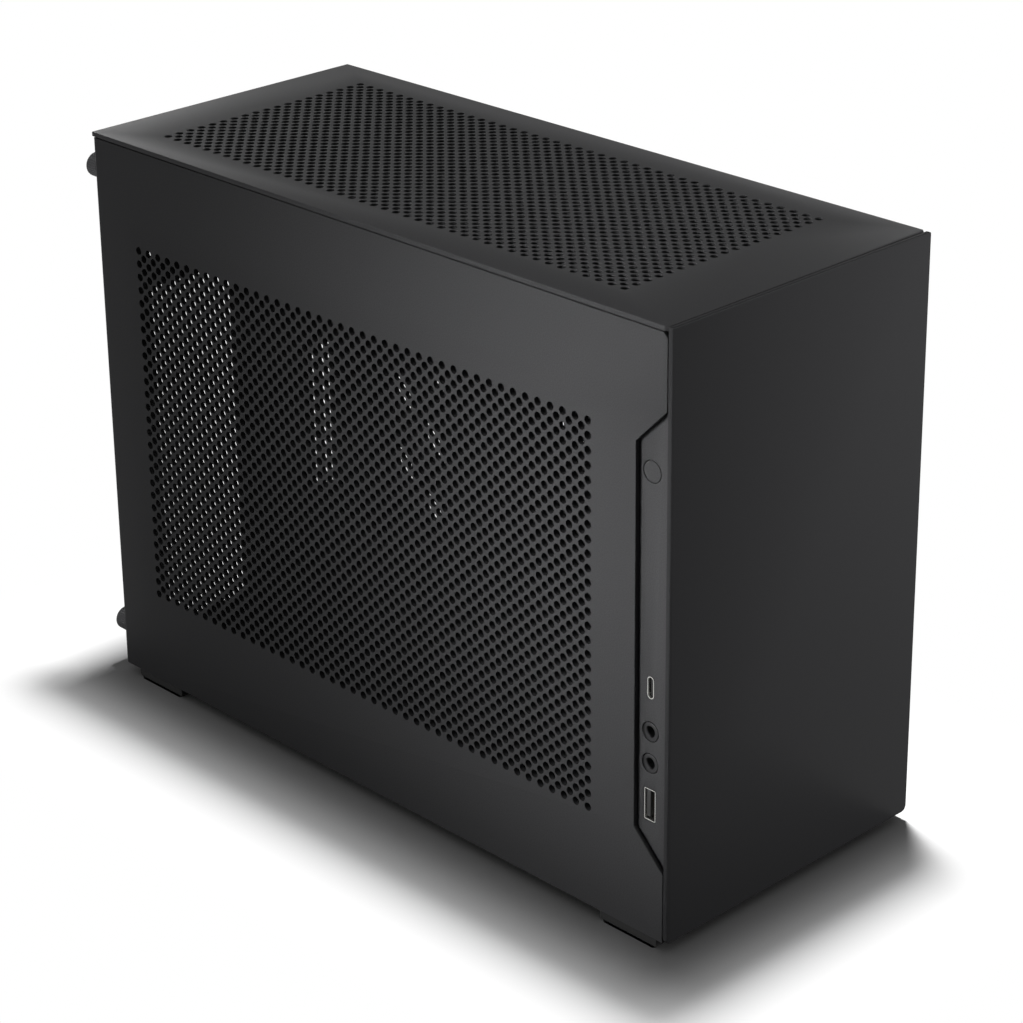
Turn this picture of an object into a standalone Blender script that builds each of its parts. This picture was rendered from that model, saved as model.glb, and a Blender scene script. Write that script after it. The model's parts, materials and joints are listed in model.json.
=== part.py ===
"""A small upright computer case for a 170 mm square motherboard, in the sandwich layout.

The case is a folded steel chassis inside five thin aluminium covers. A tray down the middle parts
the motherboard's chamber (-X) from the graphics card's (+X). The radiator bracket spans the top, and
the power supply's bracket stands in front of the motherboard. The left cover has a notch in its front
edge, where the chassis carries the power button and the sockets.

Metres, +Z up. The front faces -Y, and the left cover, with the notch, is at -X.
The origin is on the floor, under the middle of the whole case.
"""
import math

import bmesh
import bpy
from mathutils import Vector

MM = 0.001

# Outer size
BODY_WIDTH = 140.0 * MM
BODY_DEPTH = 326.0 * MM
BODY_HEIGHT = 244.0 * MM
FOOT_HEIGHT = 4.5 * MM

# Sheets and plates
FRONT_PLATE = 2.0 * MM
TOP_PLATE = 2.0 * MM
SIDE_SHEET = 2.0 * MM
CHASSIS_SHEET = 1.2 * MM
SLOT_COVER_SHEET = 0.9 * MM
BEND_RADIUS = 0.6 * MM
BOARD_THICKNESS = 1.6 * MM

# Clearances
FIT = 0.3 * MM
SEAM = 0.4 * MM
FRAME_SETBACK = 0.5 * MM
BASE_LIFT = 1.0 * MM

# Perforated fields: plain margins between the case's edges and the outer edges of the holes
SIDE_FIELD_FRONT = 38.8 * MM
SIDE_FIELD_REAR = 25.6 * MM
SIDE_FIELD_BOTTOM = 40.6 * MM
SIDE_FIELD_TOP = 43.7 * MM
TOP_FIELD_FRONT = 37.8 * MM
TOP_FIELD_REAR = 26.5 * MM
TOP_FIELD_SIDE = 16.0 * MM
HOLE_RADIUS = 9.2 * MM
HOLE_PITCH_ALONG = 30.4 * MM
HOLE_PITCH_ACROSS = 28.3 * MM

# Notch in the left cover's front edge
NOTCH_DEPTH = 15.0 * MM
NOTCH_BOTTOM = 28.6 * MM
NOTCH_TOP = 31.2 * MM
COVER_CORNER = 2.0 * MM
PLATE_CORNER = 1.5 * MM
FRONT_PLATE_LOWER_CORNER = 2.5 * MM
FRONT_PLATE_UPPER_CORNER = 0.75 * MM
FRONT_PLATE_EDGE = 0.25 * MM

# Side covers' rear lip, hooks and thumbscrews
LIP_WIDTH = 13.0 * MM
HOOK_LEG = 3.0 * MM
HOOK_FINGER = 7.0 * MM
HOOK_HEIGHT = 6.0 * MM
HOOK_FRONT = 60.0 * MM
HOOK_REAR = 56.0 * MM
HOOK_EDGE = 9.0 * MM
HOOK_PLAY = 0.5 * MM
COVER_TRAVEL = 12.0 * MM
SCREW_INSET = 6.6 * MM
SCREW_EDGE = 17.0 * MM
SCREW_HEAD_RADIUS = 5.25 * MM
SCREW_HEAD_LENGTH = 8.0 * MM
SCREW_SHANK_RADIUS = 1.6 * MM
SCREW_SHANK_LENGTH = 9.0 * MM
SCREW_HEAD_EDGE = 0.8 * MM
NUT_WALL = 0.7 * MM
NUT_LENGTH = 4.0 * MM

# Chassis
BASE_FLANGE = 14.0 * MM
FRAME_FLANGE = 22.0 * MM
REAR_FLANGE = 14.0 * MM
RAIL_DROP = 16.0 * MM
RAIL_SHELF = 10.0 * MM
VENT_WIDTH = 3.0 * MM
VENT_PITCH = 18.0 * MM
CARD_VENT_FRONT = 62.0 * MM
CARD_VENT_REAR = 45.0 * MM
CARD_VENT_SIDE = 10.3 * MM
CARD_VENT_LENGTH = 26.0 * MM
SUPPLY_VENT_FRONT = 58.0 * MM
SUPPLY_VENT_SIDE = 12.3 * MM
SUPPLY_VENT_TRAY = 14.0 * MM
SUPPLY_VENT_COUNT = 5
REAR_VENT_SIDE = 12.3 * MM
REAR_VENT_TRAY = 4.8 * MM
REAR_VENT_PITCH = 6.6 * MM
REAR_VENT_TOP = 12.7 * MM
STUD_HOLE_RADIUS = 2.6 * MM
STUD_BALL_RADIUS = 2.2 * MM
STUD_NECK_RADIUS = 1.5 * MM
STUD_LENGTH = 5.2 * MM
STUD_SNAP = 3.6 * MM
STUD_SHOULDER = 2.6 * MM
STUD_EDGE = 5.5 * MM
FRONT_STUD_END = 16.0 * MM
TOP_STUD_END = 15.2 * MM

# Small screws
SMALL_SHANK_RADIUS = 1.3 * MM
SMALL_HOLE_RADIUS = 1.7 * MM
SMALL_HEAD_RADIUS = 2.8 * MM
SMALL_HEAD_HEIGHT = 1.7 * MM

# Motherboard, after the 170 mm square board's own standard
MOTHERBOARD_SIDE = 170.2 * MM
MOTHERBOARD_LOW = 6.0 * MM
MOTHERBOARD_TO_REAR = 1.0 * MM
STANDOFF_HEIGHT = 6.35 * MM
STANDOFF_RADIUS = 2.9 * MM
STANDOFF_BORE = 1.3 * MM
STANDOFF_DEPTHS = (10.16 * MM, 165.1 * MM)
STANDOFF_HEIGHTS = (6.35 * MM, 163.83 * MM)
IO_CUTOUT_HEIGHT = 158.75 * MM
IO_CUTOUT_WIDTH = 44.45 * MM
IO_CUTOUT_BACKSET = 3.65 * MM

# Tray: its rear window's place is measured from the rear panel, and its cable window's four edges from
# the front face and the covers' lower edge
TRAY_OFFSET = 2.0 * MM
BACKPLATE_WINDOW_LENGTH = 95.0 * MM
BACKPLATE_WINDOW_REAR = 37.5 * MM
BACKPLATE_WINDOW_LOW = 62.0 * MM
BACKPLATE_WINDOW_HIGH = 150.0 * MM
BACKPLATE_WINDOW_CORNER = 8.0 * MM
CABLE_WINDOW = (68.0 * MM, 146.0 * MM, 128.0 * MM, 174.0 * MM)
CABLE_WINDOW_CORNER = 4.0 * MM
RISER_WINDOW_LOW = 6.5 * MM
RISER_WINDOW_HIGH = 17.0 * MM
TRAY_TOP = 183.0 * MM
TRAY_BASE_FLANGE = 11.0 * MM
TRAY_TOP_FLANGE = 9.0 * MM
TRAY_SCREW_INSET = 6.6 * MM
TRAY_SCREW_FRONT = 50.0 * MM
TRAY_SCREW_REAR = 22.5 * MM
TRAY_SCREW_LENGTH = 5.0 * MM

# Expansion slots
SLOT_PITCH = 20.32 * MM
SLOT_SIDE_ROOM = 9.5 * MM
FIRST_SLOT = 15.0 * MM
SLOT_WIDTH = 14.0 * MM
SLOT_LOW = 42.0 * MM
SLOT_HEIGHT = 100.0 * MM
SLOT_RECESS = 12.0 * MM
SLOT_FRAME_LOW = 25.0 * MM
SLOT_LEDGE = 160.0 * MM
SLOT_UPPER_LIP = 8.0 * MM
SLOT_LOWER_LIP = 5.0 * MM
SLOT_COVER_WIDTH = 18.4 * MM
SLOT_COVER_TONGUE = 10.0 * MM
SLOT_COVER_LOW = 31.0 * MM
SLOT_COVER_VENT_WIDTH = 2.4 * MM
SLOT_COVER_VENT_PITCH = 4.6 * MM
SLOT_COVER_VENT_LOW = 58.0 * MM
SLOT_COVER_VENT_HIGH = 126.0 * MM
LEDGE_SCREW_SETBACK = 5.6 * MM
LEDGE_SCREW_LENGTH = 5.0 * MM

# Radiator bracket
FAN_SIDE_ROOM = 10.0 * MM
FAN_RIM = 4.0 * MM
FAN_SCREW_INSET = 7.5 * MM
RADIATOR_MARGIN = 2.0 * MM
RADIATOR_FLANGE = 9.0 * MM
RADIATOR_SCREW_INSET = 41.0 * MM
FAN_SLOT_WIDTH = 4.0 * MM
FAN_SLOT_LENGTH = 6.4 * MM

# Power supply bracket
SUPPLY_FACE = 40.0 * MM
SUPPLY_HEIGHT = 125.0 * MM
SUPPLY_LOW = 7.5 * MM
SUPPLY_SCREWS_ACROSS = 51.5 * MM
SUPPLY_SCREWS_UP = 113.0 * MM
SUPPLY_FLANGE = 15.0 * MM
SUPPLY_WINDOW_SIDE = 4.0 * MM
SUPPLY_WINDOW_END = 8.0 * MM
SUPPLY_WINDOW_CORNER = 3.0 * MM
SUPPLY_SCREW_SETBACK = 9.0 * MM
SUPPLY_SCREW_HEIGHTS = (30.0 * MM, 110.0 * MM)
SUPPLY_SCREW_LENGTH = 4.5 * MM

# Mains inlet
INLET_X = 28.0 * MM
INLET_WIDTH = 27.0 * MM
INLET_TALL = 19.8 * MM
INLET_DEPTH = 24.0 * MM
INLET_FLANGE_THICKNESS = 3.0 * MM
INLET_SCREW_SPACING = 40.0 * MM
INLET_WALL = 1.5 * MM
INLET_EAR = 5.0 * MM
INLET_BRIM = 1.6 * MM
INLET_CORNER = 4.0 * MM
INLET_BODY_CORNER = 2.0 * MM
INLET_FLOOR = 6.0 * MM
INLET_SCREW_LENGTH = 9.0 * MM
INLET_PINS = ((-7.0 * MM, -2.0 * MM), (7.0 * MM, -2.0 * MM), (0.0, 2.0 * MM))
INLET_PIN_WIDTH = 2.0 * MM
INLET_PIN_HEIGHT = 4.0 * MM
INLET_PIN_SETBACK = 3.0 * MM

# Power button and sockets, on one line up the chassis's left flange
PORT_LINE = 11.3 * MM
BUTTON_FROM_TOP = 57.2 * MM
TYPE_C_HEIGHT = 102.0 * MM
JACK_HEIGHTS = (84.1 * MM, 71.1 * MM)
TYPE_A_HEIGHT = 53.9 * MM
BUTTON_RADIUS = 4.1 * MM
BUTTON_TRAVEL = 0.8 * MM
BUTTON_STEM_RADIUS = 1.5 * MM
BUTTON_EDGE = 0.25 * MM
BUTTON_COLLAR = 0.8 * MM
BUTTON_COLLAR_RADIUS = 5.2 * MM
HOUSING_SIDE = 15.0 * MM
HOUSING_CORNER = 1.5 * MM
HOUSING_WELL = 5.0 * MM
HOUSING_WEB = 1.0 * MM
HOUSING_POCKET = 4.0 * MM
HOUSING_POCKET_SIDE = 7.2 * MM
SWITCH_SIDE = 6.0 * MM
SWITCH_NUB = 0.6 * MM
SWITCH_NUB_RADIUS = 1.6 * MM
SWITCH_BOARD_WIDTH = 14.0 * MM
SWITCH_BOARD_HEIGHT = 20.0 * MM
SPRING_RADIUS = 2.6 * MM
SPRING_WIRE_RADIUS = 0.25 * MM
SPRING_TURNS = 3.5
JACK_RADIUS = 3.8 * MM
JACK_BORE = 1.8 * MM
TYPE_A_TALL = 13.1 * MM
TYPE_A_THIN = 5.7 * MM
TYPE_C_TALL = 9.0 * MM
TYPE_C_THIN = 3.3 * MM
SHELL_WALL = 0.35 * MM
TYPE_A_LENGTH = 14.0 * MM
TYPE_A_TONGUE_THICKNESS = 1.9 * MM
TYPE_A_TONGUE_MARGIN = 1.0 * MM
TYPE_C_LENGTH = 7.5 * MM
TYPE_C_BASE = 6.0 * MM
TYPE_C_TONGUE_THICKNESS = 0.8 * MM
TYPE_C_TONGUE_HEIGHT = 6.6 * MM
TONGUE_SETBACK = 0.8 * MM
JACK_BODY_HEIGHT = 6.4 * MM
JACK_BODY_LENGTH = 12.0 * MM
JACK_BORE_LENGTH = 10.0 * MM
IO_BOARD_MARGIN = 10.0 * MM
IO_BOARD_WIDTH = 20.8 * MM
IO_BRACKET_GAP = 4.0 * MM
IO_BRACKET_FOOT = 10.0 * MM
IO_BRACKET_ARM = 16.0 * MM
IO_SCREW_INSET = 14.8 * MM
IO_SCREW_SHIFT = 3.0 * MM

# Feet
FOOT_LENGTH = 29.0 * MM
FOOT_WIDTH = 14.5 * MM
FOOT_ROUNDING = 2.0 * MM
FOOT_SETBACK = 0.5 * MM
FOOT_RECESS = 2.6 * MM
FOOT_SCREW_INSET = 8.4 * MM
FOOT_SCREW_TIP = 2.0 * MM
FRONT_FOOT = 5.6 * MM
REAR_FOOT = 9.6 * MM

# Riser
RISER_LENGTH = 96.0 * MM
RISER_REAR = 34.5 * MM
RISER_SHELF = 44.0 * MM
RISER_WIDTH = 20.0 * MM
RISER_DROP = 22.0 * MM
RISER_BOARD_MARGIN = 1.0 * MM
RISER_SOCKET_WIDTH = 7.6 * MM
RISER_SOCKET_HEIGHT = 11.0 * MM
RISER_SOCKET_MARGIN = 4.0 * MM
RISER_SOCKET_WALL = 2.0 * MM
RISER_SOCKET_FLOOR = 2.5 * MM
RISER_SLOT_WIDTH = 1.8 * MM
RISER_FROM_FIRST_SLOT = 1.0 * MM

# Places that follow from the sizes
HALF_WIDTH = BODY_WIDTH / 2
FRONT_Y = -(BODY_DEPTH + FIT + SCREW_HEAD_LENGTH) / 2
FRAME_X = HALF_WIDTH - SIDE_SHEET - FRAME_SETBACK
FRAME_INNER_X = FRAME_X - CHASSIS_SHEET
FRAME_FRONT = FRONT_PLATE + FIT
FRAME_BACK = BODY_DEPTH - SIDE_SHEET - FIT
REAR_INNER = FRAME_BACK - CHASSIS_SHEET
BASE_TOP = BASE_LIFT + CHASSIS_SHEET
FRAME_TOP = BODY_HEIGHT - TOP_PLATE - FIT
COVER_TOP = BODY_HEIGHT - TOP_PLATE - SEAM
NOTCH_HIGH = BODY_HEIGHT - NOTCH_TOP
BUTTON_HEIGHT = BODY_HEIGHT - BUTTON_FROM_TOP
INLET_HEIGHT = (SLOT_LEDGE + SLOT_UPPER_LIP + FRAME_TOP) / 2
RAIL_FRONT = FRAME_FRONT + FRAME_FLANGE + FIT
RAIL_BACK = FRAME_BACK - REAR_FLANGE - FIT
SCREW_X = HALF_WIDTH - SCREW_INSET
NUT_BORE = SCREW_SHANK_RADIUS + FIT
TRAY_RIGHT = TRAY_OFFSET + CHASSIS_SHEET
SLOT_PLATE = REAR_INNER - SLOT_RECESS
HOOK_ROWS = (HOOK_EDGE, FRAME_TOP - HOOK_EDGE)
HOOK_SPOTS = (HOOK_FRONT, (HOOK_FRONT + BODY_DEPTH - HOOK_REAR) / 2, BODY_DEPTH - HOOK_REAR)
TRAY_SCREW_SPOTS = (TRAY_SCREW_FRONT, REAR_INNER - TRAY_SCREW_REAR)
RISER_START = REAR_INNER - RISER_REAR - RISER_LENGTH
FAN_SIZE = BODY_WIDTH - 2 * FAN_SIDE_ROOM
FAN_COUNT = int((RAIL_BACK - RAIL_FRONT) / FAN_SIZE)
FAN_MIDDLE = (RAIL_FRONT + RAIL_BACK) / 2
RADIATOR_HALF_LENGTH = FAN_COUNT * FAN_SIZE / 2 + RADIATOR_MARGIN
RADIATOR_SCREW_SPOTS = (FAN_MIDDLE - RADIATOR_HALF_LENGTH + RADIATOR_SCREW_INSET,
                        FAN_MIDDLE + RADIATOR_HALF_LENGTH - RADIATOR_SCREW_INSET)
SLOT_COUNT = 1 + int((FRAME_X - SLOT_SIDE_ROOM - FIRST_SLOT) / SLOT_PITCH)
RADIATOR_TOP = FRAME_TOP - CHASSIS_SHEET - FIT
STUD_X = FRAME_X - STUD_EDGE
FOOT_SCREW_X = HALF_WIDTH - FOOT_SETBACK - FOOT_SCREW_INSET
TRAY_SCREW_X = TRAY_OFFSET + TRAY_SCREW_INSET
SUPPLY_SCREW_DEPTH = SUPPLY_FACE + SUPPLY_SCREW_SETBACK
LEDGE_SCREW = SLOT_PLATE + LEDGE_SCREW_SETBACK
BEHIND_FLANGE = -FRAME_INNER_X + FIT
SIDES = ((-1, "left"), (1, "right"))


def deep(distance):
    """Y of a point that lies this far behind the front face."""
    return FRONT_Y + distance


def high(distance):
    """Z of a point that lies this far above the covers' lower edge."""
    return FOOT_HEIGHT + distance


# Materials

FINISHES = {
    "powder_coat": ((0.016, 0.016, 0.017), 0.55, 0.25),
    "anodised": ((0.014, 0.014, 0.015), 0.45, 0.4),
    "chassis_black": ((0.012, 0.012, 0.013), 0.6, 0.2),
    "black_plastic": ((0.012, 0.012, 0.012), 0.5, 0.0),
    "rubber": ((0.02, 0.02, 0.02), 0.85, 0.0),
    "black_screw": ((0.02, 0.02, 0.021), 0.4, 0.8),
    "bright_steel": ((0.6, 0.6, 0.62), 0.28, 1.0),
    "brass": ((0.55, 0.4, 0.14), 0.35, 1.0),
    "circuit_board": ((0.01, 0.014, 0.012), 0.5, 0.0),
}


def make_material(node, finish):
    """A material of the node's own, in one of the finishes."""
    colour, roughness, metallic = FINISHES[finish]
    material = bpy.data.materials.new(node + "_" + finish)
    material.use_nodes = True
    shader = material.node_tree.nodes["Principled BSDF"]
    shader.inputs["Base Color"].default_value = (*colour, 1.0)
    shader.inputs["Roughness"].default_value = roughness
    shader.inputs["Metallic"].default_value = metallic
    return material


# Outlines, as lists of points in the plane across an axis:
# (y, z) across X, (x, z) across Y and (x, y) across Z

def rectangle(low_a, low_b, high_a, high_b):
    """The four corners of a rectangle."""
    return [(low_a, low_b), (high_a, low_b), (high_a, high_b), (low_a, high_b)]


def chamfered(low_a, low_b, high_a, high_b, cut):
    """A rectangle whose four corners are cut at 45 degrees."""
    return [(low_a + cut, low_b), (high_a - cut, low_b), (high_a, low_b + cut), (high_a, high_b - cut),
            (high_a - cut, high_b), (low_a + cut, high_b), (low_a, high_b - cut), (low_a, low_b + cut)]


def polygon(centre, radius, sides):
    """A regular outline around a centre, with a flat side up."""
    start = math.pi / sides
    return [(centre[0] + radius * math.cos(start + math.tau * k / sides),
             centre[1] + radius * math.sin(start + math.tau * k / sides)) for k in range(sides)]


def racetrack(centre, thin, tall, steps=4):
    """A slot outline with round ends, tall along the second direction."""
    radius = thin / 2
    straight = tall / 2 - radius
    points = []
    for end, start_angle in ((1, 0.0), (-1, math.pi)):
        for k in range(steps + 1):
            angle = start_angle + math.pi * k / steps
            points.append((centre[0] + radius * math.cos(angle),
                           centre[1] + end * straight + radius * math.sin(angle)))
    return points


def folded(path, thickness, steps=2):
    """The section of a folded sheet whose thickness lies to the left of its path."""
    near = []
    far = []
    last = len(path) - 1
    for i, corner in enumerate(path):
        here = Vector(corner)
        if i in (0, last):
            way = (Vector(path[1]) - here) if i == 0 else (here - Vector(path[last - 1]))
            way.normalize()
            near.append(here)
            far.append(here + Vector((-way.y, way.x)) * thickness)
            continue
        before = (here - Vector(path[i - 1])).normalized()
        after = (Vector(path[i + 1]) - here).normalized()
        turn = math.atan2(before.x * after.y - before.y * after.x, before.dot(after))
        left = 1.0 if turn > 0 else -1.0
        radius = BEND_RADIUS + (thickness if turn > 0 else 0.0)
        side = Vector((-before.y, before.x)) * left
        centre = here - before * (radius * math.tan(abs(turn) / 2)) + side * radius
        for k in range(steps + 1):
            angle = turn * k / steps
            spoke = -side
            spoke = Vector((spoke.x * math.cos(angle) - spoke.y * math.sin(angle),
                            spoke.x * math.sin(angle) + spoke.y * math.cos(angle)))
            near.append(centre + spoke * radius)
            far.append(centre + spoke * (radius - left * thickness))
    return [tuple(point) for point in near + far[::-1]]


def mirrored(outline):
    """The outline seen in a mirror at X = 0, for outlines across Y or Z."""
    return [(-a, b) for a, b in outline[::-1]]


# Solids

def place(axis, a, b, along):
    """A point from its place across an axis and its place along it."""
    if axis == "X":
        return Vector((along, a, b))
    if axis == "Y":
        return Vector((a, along, b))
    return Vector((a, b, along))


def skin(mesh, rings):
    """Joins rings of points into a closed tube with flat ends."""
    mesh.faces.new(rings[0])
    mesh.faces.new(rings[-1][::-1])
    for first, second in zip(rings, rings[1:]):
        for k in range(len(first)):
            following = (k + 1) % len(first)
            mesh.faces.new((first[k], first[following], second[following], second[k]))


def prism(mesh, outline, axis, low, high_end):
    """Adds an outline extruded along an axis."""
    skin(mesh, [[mesh.verts.new(place(axis, a, b, along)) for a, b in outline] for along in (low, high_end)])


def turned(mesh, profile, centre, axis, sides):
    """Adds a turned solid. A profile point is its radius and its place along the axis."""
    skin(mesh, [[mesh.verts.new(place(axis, a, b, along)) for a, b in polygon(centre, radius, sides)]
                for radius, along in profile])


def finish_mesh(name, mesh):
    """An object made of a mesh whose faces all point outwards."""
    bmesh.ops.recalc_face_normals(mesh, faces=mesh.faces)
    data = bpy.data.meshes.new(name)
    mesh.to_mesh(data)
    mesh.free()
    thing = bpy.data.objects.new(name, data)
    bpy.context.scene.collection.objects.link(thing)
    return thing


def node(name, mesh, finish, parent=None, smooth=False):
    """A piece of the case, with its own material."""
    thing = finish_mesh(name, mesh)
    thing.data.materials.append(make_material(name, finish))
    if parent is not None:
        thing.parent = parent
    if smooth:
        thing.data.shade_smooth()
        thing.data.set_sharp_from_angle(angle=math.radians(35))
    return thing


def modify(thing, mesh, operation):
    """Cuts a shape out of a piece, or joins it on."""
    tool = finish_mesh(operation.lower() + "_" + thing.name, mesh)
    tool.hide_render = True
    tool.display_type = "WIRE"
    boolean = thing.modifiers.new(operation.title(), "BOOLEAN")
    boolean.operation = operation
    boolean.solver = "EXACT"
    boolean.object = tool


def group(name, place_at=(0.0, 0.0, 0.0)):
    """An empty that holds the pieces of one moving or fixed group."""
    empty = bpy.data.objects.new(name, None)
    empty.location = place_at
    bpy.context.scene.collection.objects.link(empty)
    bpy.context.view_layer.update()
    return empty


def pan_head_screw(name, centre, axis, seat, way, shank_length, sides=8):
    """A small screw whose head sits on a face at seat and whose shank runs the way given."""
    seat = seat - way * FIT
    mesh = bmesh.new()
    turned(mesh, [(SMALL_HEAD_RADIUS * 0.7, seat - way * SMALL_HEAD_HEIGHT),
                  (SMALL_HEAD_RADIUS, seat),
                  (SMALL_SHANK_RADIUS, seat),
                  (SMALL_SHANK_RADIUS, seat + way * shank_length)], centre, axis, sides)
    node(name, mesh, "black_screw", smooth=True)


def staggered(low_a, low_b, high_a, high_b, columns, rows):
    """Centres of a staggered field of holes: a grid, and the middles of its cells."""
    step_a = (high_a - low_a) / (columns - 1)
    step_b = (high_b - low_b) / (rows - 1)
    centres = [(low_a + i * step_a, low_b + j * step_b) for i in range(columns) for j in range(rows)]
    centres += [(low_a + (i + 0.5) * step_a, low_b + (j + 0.5) * step_b)
                for i in range(columns - 1) for j in range(rows - 1)]
    return centres


def perforate(mesh, axis, field, pitches, low, high_end):
    """Adds a field of six-sided holes as prisms, inside the field's outer edges."""
    low_a, low_b, high_a, high_b = field
    counts = [1 + max(1, round((end - start - 2 * HOLE_RADIUS) / pitch))
              for start, end, pitch in zip((low_a, low_b), (high_a, high_b), pitches)]
    centres = staggered(low_a + HOLE_RADIUS, low_b + HOLE_RADIUS, high_a - HOLE_RADIUS, high_b - HOLE_RADIUS,
                        *counts)
    for centre in centres:
        prism(mesh, polygon(centre, HOLE_RADIUS, 6), axis, low, high_end)


# Covers

def front_panel():
    """The plain flat plate over the front, with rounded lower corners."""
    upper = FRONT_PLATE_UPPER_CORNER
    radius = FRONT_PLATE_LOWER_CORNER
    outline = [(HALF_WIDTH, high(BODY_HEIGHT) - upper), (HALF_WIDTH - upper, high(BODY_HEIGHT)),
               (-HALF_WIDTH + upper, high(BODY_HEIGHT)), (-HALF_WIDTH, high(BODY_HEIGHT) - upper)]
    for side, start in ((-1, math.pi), (1, 1.5 * math.pi)):
        for k in range(4):
            angle = start + math.pi / 2 * k / 3
            outline.append((side * (HALF_WIDTH - radius) + radius * math.cos(angle),
                            high(0.0) + radius + radius * math.sin(angle)))
    mesh = bmesh.new()
    prism(mesh, outline, "Y", deep(0.0), deep(FRONT_PLATE))
    plate = node("front_panel", mesh, "anodised", group("front_cover"))
    bevel = plate.modifiers.new("Edge", "BEVEL")
    bevel.width = FRONT_PLATE_EDGE
    bevel.segments = 1
    bevel.limit_method = "ANGLE"
    bevel.angle_limit = math.radians(50)

    studs = bmesh.new()
    for side in (-1, 1):
        for height in (FRONT_STUD_END, FRAME_TOP - FRONT_STUD_END):
            turned(studs, [(STUD_NECK_RADIUS, deep(FRONT_PLATE / 2)),
                           (STUD_NECK_RADIUS, deep(FRAME_FRONT + STUD_SHOULDER)),
                           (STUD_BALL_RADIUS, deep(FRAME_FRONT + STUD_SNAP)),
                           (STUD_NECK_RADIUS, deep(FRAME_FRONT + STUD_LENGTH))],
                   (side * STUD_X, high(height)), "Y", 6)
    modify(plate, studs, "UNION")


def top_stud_places():
    """The four places of the top cover's studs."""
    for side in (-1, 1):
        for distance in (RAIL_FRONT + TOP_STUD_END, RAIL_BACK - TOP_STUD_END):
            yield side * STUD_X, deep(distance)


def top_panel():
    """The perforated plate over the top."""
    cut = PLATE_CORNER
    front = deep(FRONT_PLATE + SEAM)
    outline = [(-HALF_WIDTH, front + cut), (-HALF_WIDTH + cut, front), (HALF_WIDTH - cut, front),
               (HALF_WIDTH, front + cut), (HALF_WIDTH, deep(BODY_DEPTH)), (-HALF_WIDTH, deep(BODY_DEPTH))]
    mesh = bmesh.new()
    prism(mesh, outline, "Z", high(BODY_HEIGHT - TOP_PLATE), high(BODY_HEIGHT))
    plate = node("top_panel", mesh, "powder_coat", group("top_cover"))
    holes = bmesh.new()
    field = (-HALF_WIDTH + TOP_FIELD_SIDE, deep(TOP_FIELD_FRONT),
             HALF_WIDTH - TOP_FIELD_SIDE, deep(BODY_DEPTH - TOP_FIELD_REAR))
    perforate(holes, "Z", field, (HOLE_PITCH_ACROSS, HOLE_PITCH_ALONG),
              high(BODY_HEIGHT - 2 * TOP_PLATE), high(BODY_HEIGHT + TOP_PLATE))
    modify(plate, holes, "DIFFERENCE")

    studs = bmesh.new()
    for centre in top_stud_places():
        turned(studs, [(STUD_NECK_RADIUS, high(BODY_HEIGHT - TOP_PLATE / 2)),
                       (STUD_NECK_RADIUS, high(FRAME_TOP - STUD_SHOULDER)),
                       (STUD_BALL_RADIUS, high(FRAME_TOP - STUD_SNAP)),
                       (STUD_NECK_RADIUS, high(FRAME_TOP - STUD_LENGTH))], centre, "Z", 6)
    modify(plate, studs, "UNION")


def side_panel(name, side, notched):
    """A perforated side cover with its rear lip and the hooks that hold it, on one side of the case."""
    inner = HALF_WIDTH - SIDE_SHEET
    path = [(-HALF_WIDTH + LIP_WIDTH, deep(BODY_DEPTH)), (-HALF_WIDTH, deep(BODY_DEPTH)),
            (-HALF_WIDTH, deep(FRAME_FRONT))]
    outline = folded(path, SIDE_SHEET)
    mesh = bmesh.new()
    prism(mesh, outline if side < 0 else mirrored(outline), "Z", high(0.0), high(COVER_TOP))
    sheet = node(name, mesh, "powder_coat", group(name + "_cover"))

    hooks = bmesh.new()
    finger_outer = FRAME_INNER_X - FIT
    finger_inner = finger_outer - CHASSIS_SHEET
    root_x = inner + SIDE_SHEET / 4
    for spot in HOOK_SPOTS:
        start = deep(spot)
        shape = [(-root_x, start), (-finger_outer, start), (-finger_outer, start - HOOK_FINGER),
                 (-finger_inner, start - HOOK_FINGER), (-finger_inner, start + HOOK_LEG),
                 (-root_x, start + HOOK_LEG)]
        for row in HOOK_ROWS:
            prism(hooks, shape if side < 0 else mirrored(shape), "Z",
                  high(row - HOOK_HEIGHT / 2), high(row + HOOK_HEIGHT / 2))
    modify(sheet, hooks, "UNION")

    cuts = bmesh.new()
    low, high_end = sorted((side * (inner - SIDE_SHEET / 4), side * (HALF_WIDTH + SIDE_SHEET)))
    field = (deep(SIDE_FIELD_FRONT), high(SIDE_FIELD_BOTTOM),
             deep(BODY_DEPTH - SIDE_FIELD_REAR), high(BODY_HEIGHT - SIDE_FIELD_TOP))
    perforate(cuts, "X", field, (HOLE_PITCH_ALONG, HOLE_PITCH_ACROSS), low, high_end)
    front = deep(FRAME_FRONT)
    corner = [(front - COVER_CORNER, high(COVER_TOP) - 2 * COVER_CORNER),
              (front + 2 * COVER_CORNER, high(COVER_TOP) + COVER_CORNER),
              (front - COVER_CORNER, high(COVER_TOP) + COVER_CORNER)]
    prism(cuts, corner, "X", low, high_end)
    if notched:
        edge = deep(FRONT_PLATE)
        back = edge + NOTCH_DEPTH
        past = edge - SIDE_SHEET
        prism(cuts, [(past, high(NOTCH_BOTTOM) - SIDE_SHEET), (back, high(NOTCH_BOTTOM) + NOTCH_DEPTH),
                     (back, high(NOTCH_HIGH) - NOTCH_DEPTH), (past, high(NOTCH_HIGH) + SIDE_SHEET)],
              "X", low, high_end)
    for height in (SCREW_EDGE, BODY_HEIGHT - SCREW_EDGE):
        prism(cuts, polygon((side * SCREW_X, high(height)), NUT_BORE, 8), "Y",
              deep(BODY_DEPTH - 2 * SIDE_SHEET), deep(BODY_DEPTH + SIDE_SHEET))
    modify(sheet, cuts, "DIFFERENCE")
    return sheet.parent


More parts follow.
